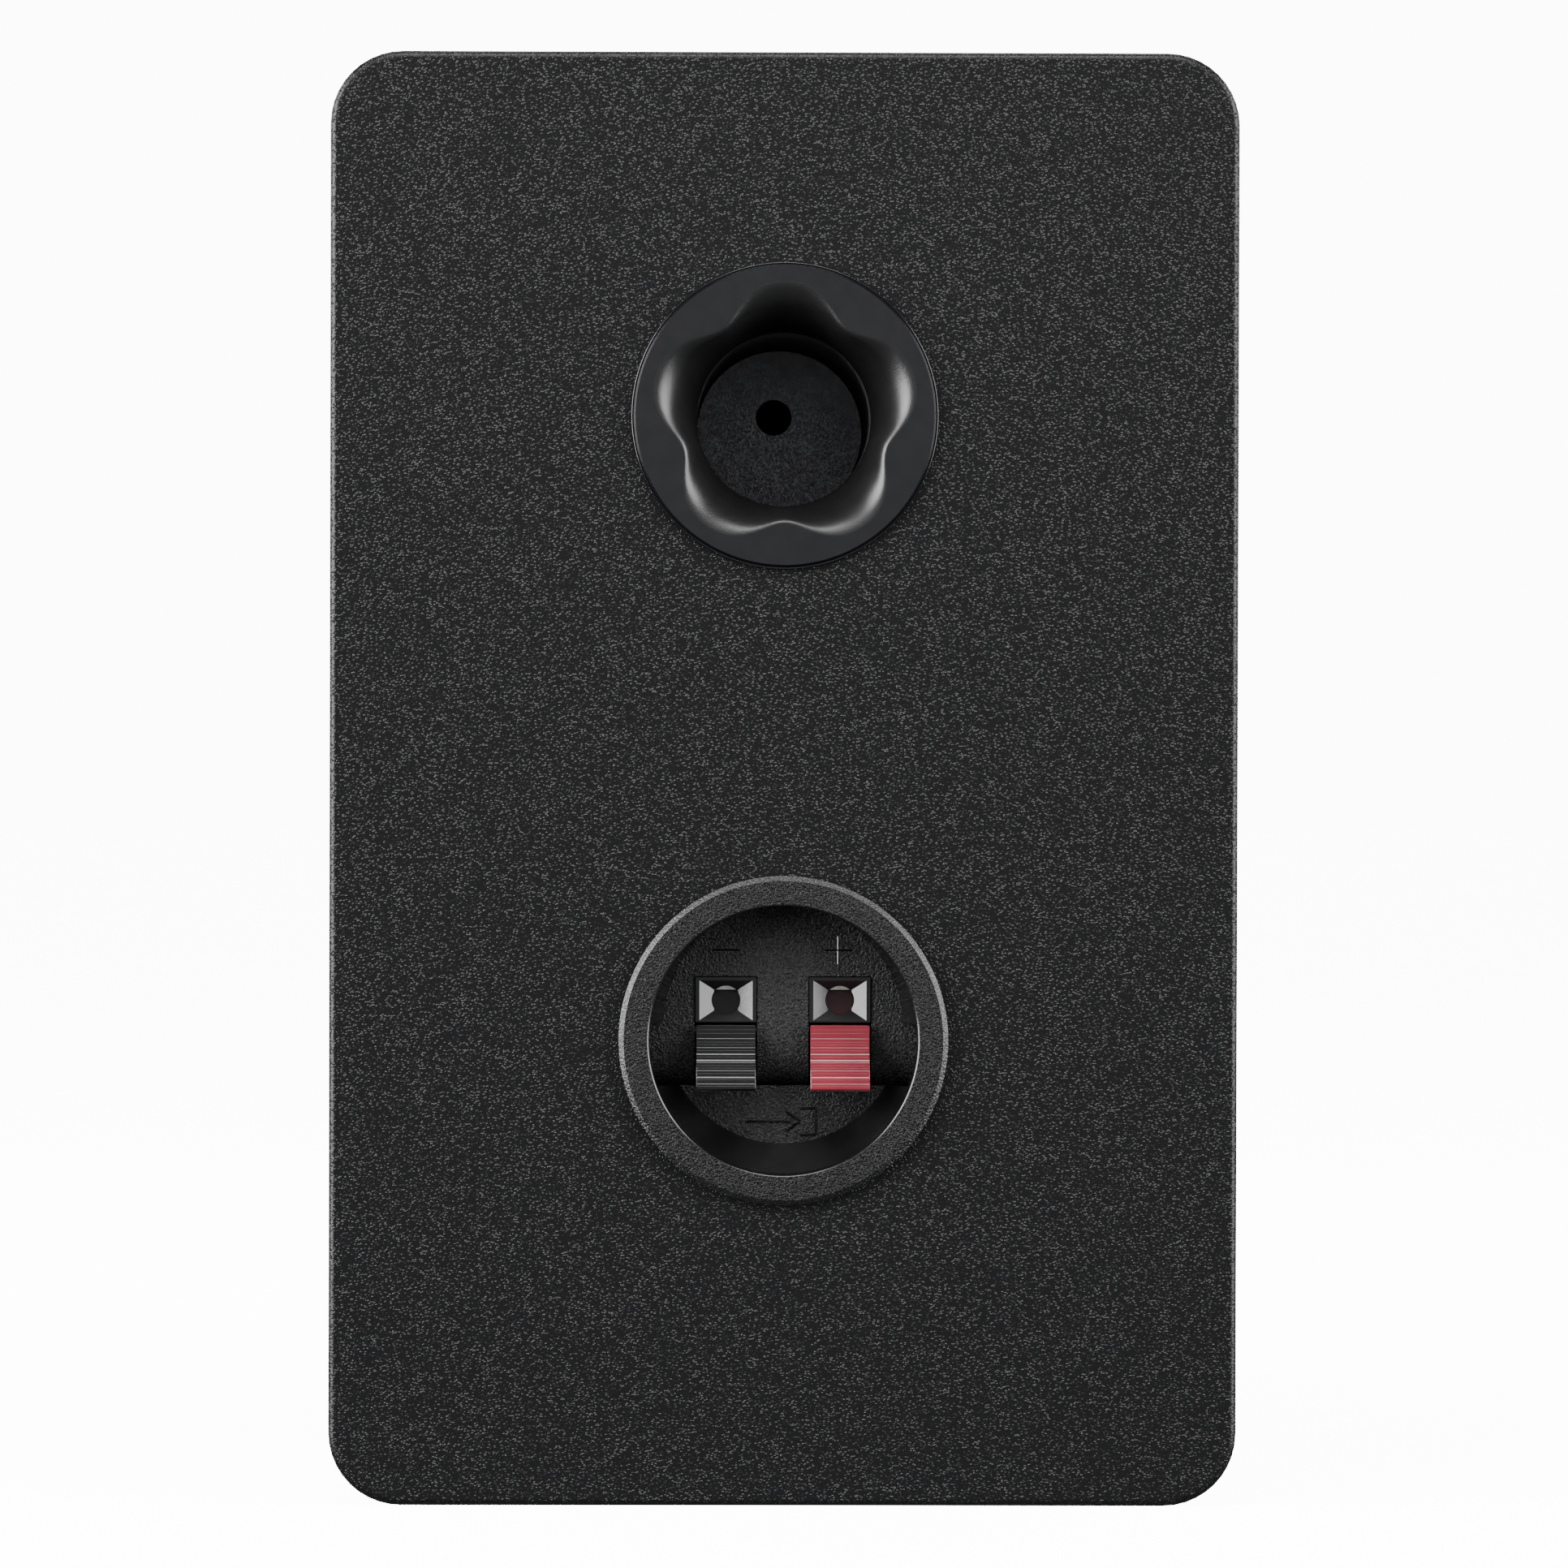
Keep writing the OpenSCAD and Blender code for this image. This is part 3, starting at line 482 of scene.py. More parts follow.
def weave(name, light, dark, size, roughness=0.7):
    """Woven cloth: two sets of threads that cross."""
    n = Nodes(name, roughness=roughness, specular=0.3)
    threads = n.math("MAXIMUM", n.bands(size, "X"), n.bands(size, "Z"))
    n.bump(threads, size * 0.25)
    n.colours(threads, [(0.2, dark), (0.9, light)])
    return n.material


def turned_metal(name, colour, roughness=0.3):
    """Plated or machined metal with a faint turning grain."""
    n = Nodes(name, roughness=roughness, metallic=1.0)
    n.colours(n.noise(4, detail=4), [(0.3, tuple(c * 0.85 for c in colour)), (0.7, colour)])
    n.rough(n.spread(n.noise(0.3, detail=3), roughness - 0.08, roughness + 0.1))
    n.bump(n.noise(0.15, detail=2, vector=n.stretched((1, 0.15, 1))), 0.01)
    return n.material


def ferrite():
    n = Nodes("ferrite", roughness=0.5, specular=0.6)
    n.colours(n.noise(1.2, detail=5, rough=0.65), [(0.3, grey(0.03)), (0.7, grey(0.075))])
    n.bump(n.noise(0.4, detail=4, rough=0.65), 0.05)
    return n.material


def copper_wire():
    """Turns of enamelled wire lying side by side."""
    n = Nodes("copper_wire", roughness=0.28, metallic=1.0)
    n.colours(n.noise(2.0, detail=3), [(0.3, (0.42, 0.15, 0.06)), (0.7, (0.72, 0.32, 0.14))])
    n.bump(n.bands(0.5, "DIAGONAL"), 0.1)
    return n.material


def sheet_board(name, light, dark, size=1.5):
    n = Nodes(name, roughness=0.5)
    n.colours(n.noise(size, detail=5, rough=0.65), [(0.3, dark), (0.7, light)])
    n.rough(n.spread(n.noise(size * 2, detail=3), 0.42, 0.58))
    n.bump(n.noise(0.3, detail=3), 0.015)
    return n.material


def wadding_fibre():
    n = Nodes("wadding_fibre", roughness=0.95, specular=0.1)
    strands = n.noise(2.5, detail=6, rough=0.75, vector=n.stretched((1, 0.2, 1)))
    n.bump(strands, 0.9)
    n.colours(strands, [(0.3, grey(0.55)), (0.7, (0.86, 0.86, 0.84))])
    return n.material


FILM = film()
MOULDED = moulded("moulded_black", 0.003)
BEZEL = spark_grain("moulded_grain", 0.0024)
# Painted light: the floor and the trough are coloured nearly four times as light as the ring's grain,
# standing in for light that the bowl's walls keep off them.
CUP_FLOOR_LIT = spark_grain("cup_floor_painted_light", 0.009)
# Painted shade: the floor below the slots keeps a third of the upper floor's colour, so the floor darkens
# towards the cup's bottom.
CUP_FOOT_SHADED = spark_grain("cup_foot_painted_shade", 0.003)
# Painted highlight: the ring's chamfer is coloured twice as light as the ring's face, for a bright line
# along it; its higher gloss and finer grain are real.
CUP_EDGE_LIT = spark_grain("cup_edge_painted_highlight", 0.005, 0.5, 0.2)
CUP_BOWL = moulded("cup_satin", 0.002, 1.05, 0.2)
PORT_FLANGE = moulded("port_satin", 0.0024, 1.3, 0.33)
# Painted light: the mouth's wall is coloured lighter than the flange, standing in for light deep in the
# mouth; its rougher grain is real.
PORT_WALL_LIT = moulded("port_wall_painted_light", 0.004, 1.05, 0.36, 0.03)
PORT_EDGE = moulded("port_edge", 0.003, 1.3, 0.16)
# Painted light: the black duct is coloured mid grey, so that light bounces down it and lightens the port's
# depths.
DUCT_PAINTED_LIGHT = moulded("duct_painted_light", 0.12, 1.05, 0.5)
GUIDE = moulded("guide_gloss", 0.006, 1.04, 0.26)
FRONT_SATIN = satin_paint("front_satin", 0.007, 0.44)
GREY_PAINT = satin_paint("grey_paint", 0.06, 0.4)
DARK_ZINC = turned_metal("dark_zinc", (0.62, 0.62, 0.65), 0.4)
BLACK_OXIDE = satin_paint("black_oxide", 0.04, 0.32, metallic=0.8)
CAP_GLOSS = satin_paint("cap_gloss", 0.018, 0.3)
LEVER_BLACK = lever_plastic("lever_black", grey(0.0035), grey(0.002))
LEVER_RED = lever_plastic("lever_red", (0.15, 0.013, 0.022), (0.12, 0.01, 0.017))
RUBBER = rubber()
FOAM = foam()
FIBRE = pressed_fibre()
SILK = weave("dome_silk", grey(0.035, 1.1), grey(0.012), 0.25, 0.5)
SPIDER = weave("spider_cloth", (0.5, 0.36, 0.13), (0.26, 0.17, 0.05), 0.5)
STEEL = turned_metal("plated_steel", (0.6, 0.61, 0.63))
NICKEL = turned_metal("nickel", (0.78, 0.76, 0.72), 0.22)
BRASS = turned_metal("tinned_brass", (0.8, 0.62, 0.3), 0.28)
COPPER = copper_wire()
FERRITE = ferrite()
PHENOLIC = sheet_board("phenolic", (0.24, 0.12, 0.045), (0.14, 0.065, 0.025))
FORMER = sheet_board("coil_former", (0.6, 0.38, 0.16), (0.42, 0.25, 0.09), 3)
CIRCUIT = sheet_board("circuit_board", (0.03, 0.16, 0.07), (0.015, 0.09, 0.04), 4)
NYLON = sheet_board("nylon", (0.72, 0.72, 0.68), (0.6, 0.6, 0.56), 3)
CERAMIC = sheet_board("ceramic", (0.78, 0.77, 0.73), (0.6, 0.6, 0.57), 0.8)
FILM_CAP = sheet_board("film_capacitor", (0.6, 0.42, 0.08), (0.45, 0.3, 0.05), 5)
CAN_CAP = sheet_board("can_capacitor", (0.04, 0.07, 0.24), (0.02, 0.035, 0.14), 5)
WIRE_RED = lever_plastic("wire_red", (0.5, 0.03, 0.03), (0.36, 0.02, 0.02))
WIRE_BLACK = lever_plastic("wire_black", grey(0.022), grey(0.014))
WADDING = wadding_fibre()


def dress(obj, material, nodes, body="cabinet"):
    """Gives a finished piece its material, the nodes it stands for and its body."""
    if material:
        obj.data.materials.append(material)
    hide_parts(*nodes)
    if body:
        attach(obj, body)
    return obj


# ---------- cabinet ----------

def cabinet_loops(rim, steps=10):
    """Loops round the cabinet with round corners, one for each (inset, y) pair."""
    loops = []
    for inset, y in rim:
        r = max(CORNER - inset, 0.5)
        side, high, low = WIDTH / 2 - inset - r, HEIGHT - inset - r, inset + r
        loop = []
        for cx, cz, start in ((side, high, 0), (-side, high, 90), (-side, low, 180), (side, low, 270)):
            loop += arc(cx, cz, r, [start + 90 * k / steps for k in range(steps + 1)])
        loops.append([(x, y, z) for x, z in loop])
    return loops


def edge_round(radius, face, direction, steps=6):
    """(inset, y) pairs from the side wall round to the flat face at y = face."""
    return [(radius * (1 - math.cos(math.radians(90 * k / steps))),
             face - direction * radius * (1 - math.sin(math.radians(90 * k / steps))))
            for k in range(steps + 1)]


def plate(name, rim, holes):
    """A plate whose rim follows (inset, y) pairs from front to back, with turned holes whose
    profiles are (radius, y) pairs from front to back about (x, z)."""
    bm = bmesh.new()
    ends = [[], []]

    def skin(loops):
        rows = [[bm.verts.new(Vector(p) * MM) for p in loop] for loop in loops]
        for a, b in zip(rows, rows[1:]):
            for k in range(len(a)):
                bm.faces.new((a[k], a[k - 1], b[k - 1], b[k]))
        for end, row in zip(ends, (rows[0], rows[-1])):
            end.extend(bm.edges.get((row[k], row[k - 1])) for k in range(len(row)))

    skin(cabinet_loops(rim))
    for cx, cz, profile in holes:
        skin([[(cx + r * math.cos(a), y, cz + r * math.sin(a))
               for a in (2 * math.pi * k / 144 for k in range(144))] for r, y in profile])
    for end in ends:
        bmesh.ops.triangle_fill(bm, use_beauty=True, use_dissolve=False, edges=end)
    bmesh.ops.recalc_face_normals(bm, faces=bm.faces)
    return even_normals(smoothed(linked(name, mesh_from(name, bm)), 50))


def cabinet():
    soft, port_hole_r, cup_hole_r = 0.35, 22.3, 24.3
    rear_rim = [(soft, PANEL_FRONT), (0, PANEL_FRONT + soft)] + edge_round(1.2, BACK, 1)
    rear = plate("rear_panel_film", rear_rim, [
        (0, z, [(r, PANEL_FRONT), (r, BACK)]) for z, r in ((PORT_Z, port_hole_r), (CUP_Z, cup_hole_r))])
    dress(rear, FILM, ["rear_panel"])

    trim_r, trim_seat, gasket_r, gasket_seat, basket_r = 61.2, FRONT + 0.4, 59.6, FRONT + 5, 50.5
    plate_r, plate_seat, magnet_r = 32.3, FRONT + 3, 26.8
    front_rim = edge_round(1.5, FRONT, -1)[::-1] + [(0, BAFFLE_BACK - soft), (soft, BAFFLE_BACK)]
    baffle = plate("front_baffle_panel", front_rim, [
        (0, WOOFER.translation.z,
         [(trim_r, FRONT), (trim_r, trim_seat), (gasket_r, trim_seat), (gasket_r, gasket_seat),
          (basket_r, gasket_seat), (basket_r, BAFFLE_BACK)]),
        (0, TWEETER.translation.z,
         [(plate_r, FRONT), (plate_r, plate_seat), (magnet_r, plate_seat), (magnet_r, BAFFLE_BACK)])])
    dress(baffle, FRONT_SATIN, ["front_baffle"])

    groove = [(0.5, 0), (0.5, 0.45), (0.15, 0.6), (0, 0.95)]
    rim = ([(inset, BAFFLE_BACK + y) for inset, y in groove]
           + [(inset, PANEL_FRONT - y) for inset, y in groove[::-1]]
           + [(WALL, PANEL_FRONT), (WALL, BAFFLE_BACK)])
    sleeve = smoothed(loft("sleeve_film", cabinet_loops(rim), closed=True), 60)
    dress(even_normals(sleeve), FILM, ["cabinet_sleeve"])


def wadding():
    """A soft slab of fibre on each side wall: full in its middle, thin along its rim, lumpy all over."""
    low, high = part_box("side_wadding")
    size, centre = (high - low) / MM, middle("side_wadding")
    thick, rim_part, crown_part = 10.0, 0.55, 0.36
    slabs = []
    for side in (-1, 1):
        bm = bmesh.new()
        bmesh.ops.create_cube(bm, size=1)
        bmesh.ops.subdivide_edges(bm, edges=bm.edges, cuts=15, use_grid_fill=True)
        for v in bm.verts:
            crown = (1 - abs(2 * v.co.y) ** 6) * (1 - abs(2 * v.co.z) ** 6)
            lumps = noise.noise(v.co * 5 + Vector((side * 3, 0, 0))) * 0.18
            v.co.x *= thick * (rim_part + crown_part * crown) * (1 + lumps * crown)
            v.co.y *= size.y * (0.97 + 0.02 * noise.noise(v.co * 0.3))
            v.co.z *= size.z * 0.97
            v.co.x += side * (size.x - thick) / 2
            v.co = (v.co + Vector((0, centre.y, centre.z))) * MM
        slabs.append(linked("slab", mesh_from("slab", bm)))
    obj = smoothed(joined("wadding_slabs", slabs))
    soft = obj.modifiers.new("soft", "SUBSURF")
    soft.levels = soft.render_levels = 1
    dress(obj, WADDING, ["side_wadding"])


# ---------- port ----------

LOBES, MOUTH_R, LOBE_SWING, LOBE_FLAT = 5, 20.3, 2.3, 0.3
BORE_R, FLARE_LENGTH, FLANGE_R, FLANGE_T = 14.5, 20.0, 25.3, 1.5
FLARE_LOW, NECK_R, PIPE_WALL = -22.0, 22.2, 1.8


def mouth_r(angle, depth):
    """Radius of the mouth's wall. One lobe points straight up."""
    turn = LOBES * (angle - math.pi / 2)
    face_r = MOUTH_R + LOBE_SWING * math.cos(turn) - LOBE_FLAT * math.cos(2 * turn)
    return BORE_R + (face_r - BORE_R) * (1 - math.sqrt(1 - (1 - depth / FLARE_LENGTH) ** 2))


def port():
    sides, steps, lip = 320, 34, 0.25
    rings = []
    for i in range(steps + 1):
        depth = FLARE_LENGTH * (1 - math.cos(math.pi / 2 * i / steps))
        rings.append(ring(0, FLANGE_T - depth, sides, shape=lambda a, d=depth: mouth_r(a, d)))
    rings.reverse()
    rings.append(ring(0, FLANGE_T, sides, shape=lambda a: mouth_r(a, 0) + lip))
    flange = rounded([(FLANGE_R, FLANGE_T, 0.48), (FLANGE_R, 0, 0.1), (NECK_R, 0, 0),
                      (NECK_R, FLARE_LOW, 0.4), (BORE_R + PIPE_WALL, FLARE_LOW, 0.2),
                      (BORE_R + PIPE_WALL, FLANGE_T - FLARE_LENGTH, 0)])
    rings += [ring(r, z, sides) for r, z in [(23.6, FLANGE_T), (24.6, FLANGE_T)] + flange]
    flare = smoothed(loft("port_mouth", rings, PORT, closed=True), 55)
    for material in (PORT_FLANGE, PORT_WALL_LIT, PORT_EDGE):
        flare.data.materials.append(material)
    for face in flare.data.polygons:
        spot = face.center / MM
        if spot.y < BACK + FLANGE_T - 0.003:
            wall = math.hypot(spot.x, spot.z - PORT_Z) < MOUTH_R + LOBE_SWING + LOBE_FLAT
            # Faces down the mouth take the lighter colour, painted light; the lip takes the edge's gloss.
            face.material_index = 1 if wall else 2
    dress(even_normals(flare), None, ["port_flare"])

    end = (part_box("port_pipe")[0].y - BACK * MM) / MM
    top = FLANGE_T - FLARE_LENGTH
    bell, bell_r = 8.0, 3.5
    turns = [math.radians(90 * k / 14) for k in range(15)]
    curve = [(BORE_R + bell_r * (1 - math.cos(t)), end + bell - bell * math.sin(t)) for t in turns]
    inner = [(BORE_R, top)] + curve + [(BORE_R + bell_r + 1.4, end + 0.1)]
    outer = [(r + PIPE_WALL, z) for r, z in curve[-2::-1]] + [(BORE_R + PIPE_WALL, top)]
    pipe = smoothed(lathe("port_duct", inner + outer, PORT), 50)
    dress(even_normals(pipe), DUCT_PAINTED_LIGHT, ["port_pipe"])


# ---------- terminal cup ----------

SLOT_X, SLOT_HALF, GUIDE_HALF = 9.45, 5.2, 5.05
SLOT_LOW, SLOT_HIGH = -7.8, 10.3
FLOOR, FLOOR_BACK, FLOOR_R, SCOOP_TOP = -7.0, -12.0, 19.8, -2.5
CUP_MOUTH_R, BARREL_R, CHAMBER_R, CUP_RING_R, CUP_RING_T = 22.15, 24.2, 22.2, 27.2, 2.0
CUP_LOW, CUP_BACK_TOP = -26.0, -24.4
TROUGH_TOP, TROUGH_DEEP = 2.6, 3.5
PIVOT_Y, PIVOT_Z = 1.0, -20.0
WIRE_Y, WIRE_HOLE_R = 6.3, 2.4
GUIDE_LOW, GUIDE_FRONT, GUIDE_BACK = 2.7, -6.7, -11.0
STRIP_Y, STRIP_T = 8.85, 0.4


def cup_shell():
    """The bowl, with its slope under the floor's lower edge, as one skin of shifted rings."""
    sides = 192
    rings = [ring(FLOOR_R, FLOOR, sides, shift=CUP_MOUTH_R - FLOOR_R), ring(CUP_MOUTH_R, SCOOP_TOP, sides)]
    rim = rounded([(CUP_MOUTH_R, CUP_RING_T, 0.42), (CUP_RING_R - 0.85, CUP_RING_T, 0.1),
                   (CUP_RING_R, CUP_RING_T - 0.54, 0.1), (CUP_RING_R, 0, 0.1), (BARREL_R, 0, 0),
                   (BARREL_R, CUP_LOW, 0.3), (CHAMBER_R, CUP_LOW, 0.2), (CHAMBER_R, FLOOR_BACK, 0)], 6)
    rings += [ring(r, z, sides) for r, z in rim]
    return loft("cup_bowl", rings, cap=True)


def cup_cutters():
    """The finger trough, kept inside the bowl's wall, and the two slots."""
    steps = 16
    run = TROUGH_TOP - SLOT_LOW
    outline = [(SLOT_LOW, 5), (TROUGH_TOP, 5)]
    for i in range(steps + 1):
        t = 0.98 * i / steps
        outline.append((TROUGH_TOP - run * i / steps, FLOOR - TROUGH_DEEP * (1 - math.sqrt(1 - t * t))))
    trough = prism("trough", outline, -40, 40)
    boolean(trough, rod("inside", CUP_MOUTH_R - 0.02, FLOOR_BACK - 1, 1, sides=192), "INTERSECT")
    slots = [block("slot", (x - SLOT_HALF, SLOT_LOW, FLOOR_BACK - 1), (x + SLOT_HALF, SLOT_HIGH, 1))
             for x in (-SLOT_X, SLOT_X)]
    return [trough] + slots


def ridge(start, end, half=0.16, high=0.2):
    """A low roof-shaped stroke on the floor between two points."""
    a, b = Vector(start), Vector(end)
    along = (b - a).normalized()
    side = Vector((-along.y, along.x)) * half
    verts = []
    for p in (a, b):
        verts += [(p.x - side.x, p.y - side.y, FLOOR - 0.5), (p.x - side.x, p.y - side.y, FLOOR),
                  (p.x, p.y, FLOOR + high), (p.x + side.x, p.y + side.y, FLOOR),
                  (p.x + side.x, p.y + side.y, FLOOR - 0.5)]
    faces = [(k, (k + 1) % 5, 5 + (k + 1) % 5, 5 + k) for k in range(5)]
    faces += [(0, 1, 2, 3, 4), (5, 6, 7, 8, 9)]
    return put("stroke", verts, faces, smooth=False)


def raised_marks():
    """Minus, plus and an arrow into a bracket, each a low raised stroke."""
    half, y, plus_x = 2.3, 14.65, SLOT_X - 0.3
    strokes = [ridge((-SLOT_X - half, y), (-SLOT_X + half, y)),
               ridge((plus_x - half, y), (plus_x + half, y)),
               ridge((plus_x, y - half), (plus_x, y + half), high=0.11)]
    arrow_y, barb, arm, bracket_x = -13.8, 1.6, 2.2, 5.4
    lines = [((-6, 0), (2.6, 0))]
    for s in (-1, 1):
        lines += [((0.6, barb * s), (2.8, 0)), ((2.9, arm * s), (bracket_x, arm * s))]
    lines.append(((bracket_x, -arm), (bracket_x, arm)))
    return strokes + [ridge((x0, arrow_y + y0), (x1, arrow_y + y1), 0.22, 0.3)
                      for (x0, y0), (x1, y1) in lines]


def terminal_cup():
    bowl = cup_shell()
    for cutter in cup_cutters():
        boolean(bowl, cutter)
    behind = [block("rib", (a, -3, CUP_BACK_TOP), (b, 5, FLOOR_BACK + 0.2))
              for a, b in ((-16.7, -14.7), (-4.2, 4.2), (14.7, 16.7))]
    behind += [block("shelf", (x - 2.5, STRIP_Y + STRIP_T, CUP_BACK_TOP), (x + 2.5, 11.6, FLOOR_BACK + 0.2))
               for x in (-SLOT_X, SLOT_X)]
    cup = joined("cup_bowl_and_marks", [bowl] + raised_marks() + behind)
    for material in (CUP_BOWL, BEZEL, CUP_FLOOR_LIT, CUP_EDGE_LIT, CUP_FOOT_SHADED):
        cup.data.materials.append(material)
    edges_rounded(cup, 0.1, convex=True)
    for face in cup.data.polygons:
        y, z, r = face.center.y / MM, face.center.z / MM, math.hypot(face.center.x, face.center.y) / MM
        level = abs(face.normal.z) > 0.98
        on_ring, on_floor = level and abs(z - CUP_RING_T) < 0.01, level and abs(z - FLOOR) < 0.01
        in_trough = (FLOOR - TROUGH_DEEP < z < FLOOR and face.normal.z > 0.4 and r < CUP_MOUTH_R
                     and SLOT_LOW < y < TROUGH_TOP)
        if on_ring:
            face.material_index = 1
        # The floor above the slots and the trough take the lighter grain: painted light.
        elif in_trough or on_floor and y > SLOT_LOW:
            face.material_index = 2
        # The chamfer takes the lighter grain: a painted highlight along the ring's edge.
        elif r > CUP_RING_R - 1 and CUP_RING_T - 0.8 < z < CUP_RING_T - 0.01:
            face.material_index = 3
        # The floor below the slots takes the darker grain: painted shade towards the bottom of the cup.
        elif on_floor:
            face.material_index = 4
        face.use_smooth = not (on_ring or on_floor)
    move_to(cup, CUP)
    cup.data.update()
    dress(cup, None, ["terminal_cup"])


def wire_guides():
    for side, name in ((-1, "negative"), (1, "positive")):
        x = side * SLOT_X
        guide = block(f"wire_funnel_{name}", (x - GUIDE_HALF, GUIDE_LOW, GUIDE_BACK),
                      (x + GUIDE_HALF, SLOT_HIGH - 0.15, GUIDE_FRONT))
        outer, inner, deep = (4.4, 3.3), (2.0, 1.75), 1.29
        corners = ((-1, -1), (1, -1), (1, 1), (-1, 1))
        verts = []
        for half, z in ((outer, GUIDE_FRONT + 0.01), (outer, GUIDE_FRONT), (inner, GUIDE_FRONT - deep)):
            verts += [(x + sx * half[0], WIRE_Y + sy * half[1], z) for sx, sy in corners]
        faces = [(0, 1, 2, 3), (8, 9, 10, 11)]
        for row in (0, 4):
            faces += [(row + k, row + (k + 1) % 4, row + 4 + (k + 1) % 4, row + 4 + k) for k in range(4)]
        boolean(guide, put("funnel", verts, faces, smooth=False))
        boolean(guide, rod("hole", WIRE_HOLE_R, GUIDE_BACK - 1, 0, Matrix.Translation((x, WIRE_Y, 0))))
        move_to(guide, CUP)
        edges_rounded(guide, 0.09, angle=30)
        dress(guide, GUIDE, [f"wire_guide_{name}"])


def lever_outline():
    """The thumb rest's scoop in fine uneven steps, then the neck, the hub and the pinching arm.

    Each step is where it starts on the scoop, from 0 to 1, and how wide the slope along its edge is."""
    narrow = 0.01
    steps = ((0.0, narrow), (0.07, narrow), (0.13, narrow), (0.21, 0.06), (0.27, narrow), (0.31, narrow),
             (0.355, 0.05), (0.405, narrow), (0.455, 0.14), (0.505, narrow), (0.55, 0.2), (0.59, 0.06),
             (0.64, narrow), (0.68, narrow), (0.717, 0.06), (0.765, narrow), (0.815, 0.18), (0.86, narrow),
             (0.92, 0.07), (0.96, narrow), (1.0, 0))
    top_y, scoop_z, scoop_r, sweep_angle, slope = 2.2, -5.6, 12.1, 58.0, 0.61
    drop = scoop_r * math.sin(math.radians(sweep_angle))

    def arc_z(part):
        return scoop_z + scoop_r - math.sqrt(scoop_r ** 2 - (drop * part) ** 2)

    corners = []
    for (upper, width), (lower, _) in zip(steps, steps[1:]):
        y, z = top_y - drop * upper, arc_z((upper + lower) / 2)
        corners += [(y, z - slope * width, 0), (y - width, z, 0), (top_y - drop * lower, z + 0.03, 0.02)]
    corners += [(-8.5, -0.6, 0.3), (-8, -1.5, 0.3), (-6, -3.4, 1), (-4.9, -5, 1), (-4.3, -7, 1),
                (-4.1, -9.5, 1), (-2.4, -14, 2), (-1.5, -20.5, 1), (1, -22.5, 1), (3.4, -20.5, 1),
                (4.4, -17.2, 1), (8.07, -14.6, 0.4), (8.07, -12.8, 0.3), (top_y, -12.8, 0.5)]
    return rounded(corners)


def levers():
    half, edge, bore_r, room_r, room = 4.9, 0.22, 1.06, 3.6, 3.2
    outline = lever_outline()
    middle_y, middle_z = (sum(values) / len(outline) for values in zip(*outline))
    for side, name, material, slot in ((-1, "negative", LEVER_BLACK, "lever_black"),
                                       (1, "positive", LEVER_RED, "lever_red")):
        x = side * SLOT_X
        rows = []
        for at, shrink in ((-half, 0.985), (-half + edge * 0.3, 0.995), (-half + edge, 1.0),
                           (half - edge, 1.0), (half - edge * 0.3, 0.995), (half, 0.985)):
            rows.append([(x + at, middle_y + (y - middle_y) * shrink, middle_z + (z - middle_z) * shrink)
                         for y, z in outline])
        body = loft(f"push_lever_{name}", rows, cap=True)
        axis = Matrix.Translation((x, PIVOT_Y, PIVOT_Z)) @ Matrix.Rotation(math.pi / 2, 4, "Y")
        boolean(body, rod("bore", bore_r, -2 * half, 2 * half, axis, 48))
        boolean(body, rod("spring_room", room_r, -half - 1, -half + room, axis))
        move_to(body, CUP)
        dress(smoothed(body, 20), material, [f"lever_{name}"], f"lever_{name}_body")


def follow(obj):
    """Bakes the piece's placement into its points."""
    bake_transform(obj)


def lever_springs():
    """Torsion springs that wind up between the back plate and the lever."""
    spring_r, wire_r, sides, turns, per_turn, pitch, start = 1.9, 0.25, 10, 4, 28, 0.62, -4.5
    out, end = PIVOT_Y + spring_r, start + pitch * turns
    path = [(start, out, CUP_BACK_TOP + 0.3), (start, out, PIVOT_Z - 2)]
    for i in range(turns * per_turn + 1):
        a = 2 * math.pi * i / per_turn
        path.append((start + pitch * i / per_turn, PIVOT_Y + spring_r * math.cos(a),
                     PIVOT_Z + spring_r * math.sin(a)))
    path += [(end, out - 0.2, PIVOT_Z + 1.2), (end, out - 0.8, PIVOT_Z + 2.6)]
    for side, name in ((-1, "negative"), (1, "positive")):
        coil = sweep(f"torsion_spring_{name}", path, wire_r, sides,
                     CUP @ Matrix.Translation((side * SLOT_X, 0, 0)))
        dress(coil, NICKEL, [f"lever_spring_{name}"], None)
        follow(coil)


# ---------- woofer ----------

def radial_blend(obj):
    """A turned soft part: bakes its placement into its points."""
    follow(obj)


def four_spots(circle):
    """The places of four screws, on the diagonals of a circle."""
    return [Matrix.Rotation(math.pi / 4 + math.pi / 2 * k, 4, "Z") @ Matrix.Translation((circle, 0, 0))
            for k in range(4)]


def woofer_trim():
    profile = rounded([
        (49.5, -2.4, 0.1), (52.2, -2.4, 0), (52.2, -3, 0), (58.6, -3, 0), (58.6, 0, 0.1), (61, 0, 0.1),
        (61, 0.8, 0.9), (59.8, 2, 0.8), (53.6, 2, 1.2), (51, 1.1, 1.2), (49.5, -0.6, 0.5)], 5)
    trim = lathe("woofer_trim", profile, sides=192)
    counterbored = [(0, -4), (2.2, -4), (2.2, 0.2), (3.4, 0.2), (3.4, 5), (0, 5)]
    for spot in four_spots(55):
        boolean(trim, lathe("hole", counterbored, spot, 64))
    move_to(trim, WOOFER)
    edges_rounded(trim, 0.12)
    dress(trim, GREY_PAINT, ["woofer_trim_ring"])


def woofer_roll():
    lip, crown, half, thick, glue = -2.4, 46.0, 3.3, 0.6, -2.95
    profile = ([(52.2, -3), (52.2, lip)] + arc(crown, lip, half, range(0, 181, 5))
               + [(40.6, lip), (40.6, glue), (crown - half + thick, glue)]
               + arc(crown, lip, half - thick, range(180, -1, -5)) + [(crown + half - thick, -3)])
    roll = smoothed(lathe("woofer_roll", profile, WOOFER, 192), 50)
    dress(roll, RUBBER, ["woofer_surround"], None)
    radial_blend(roll)


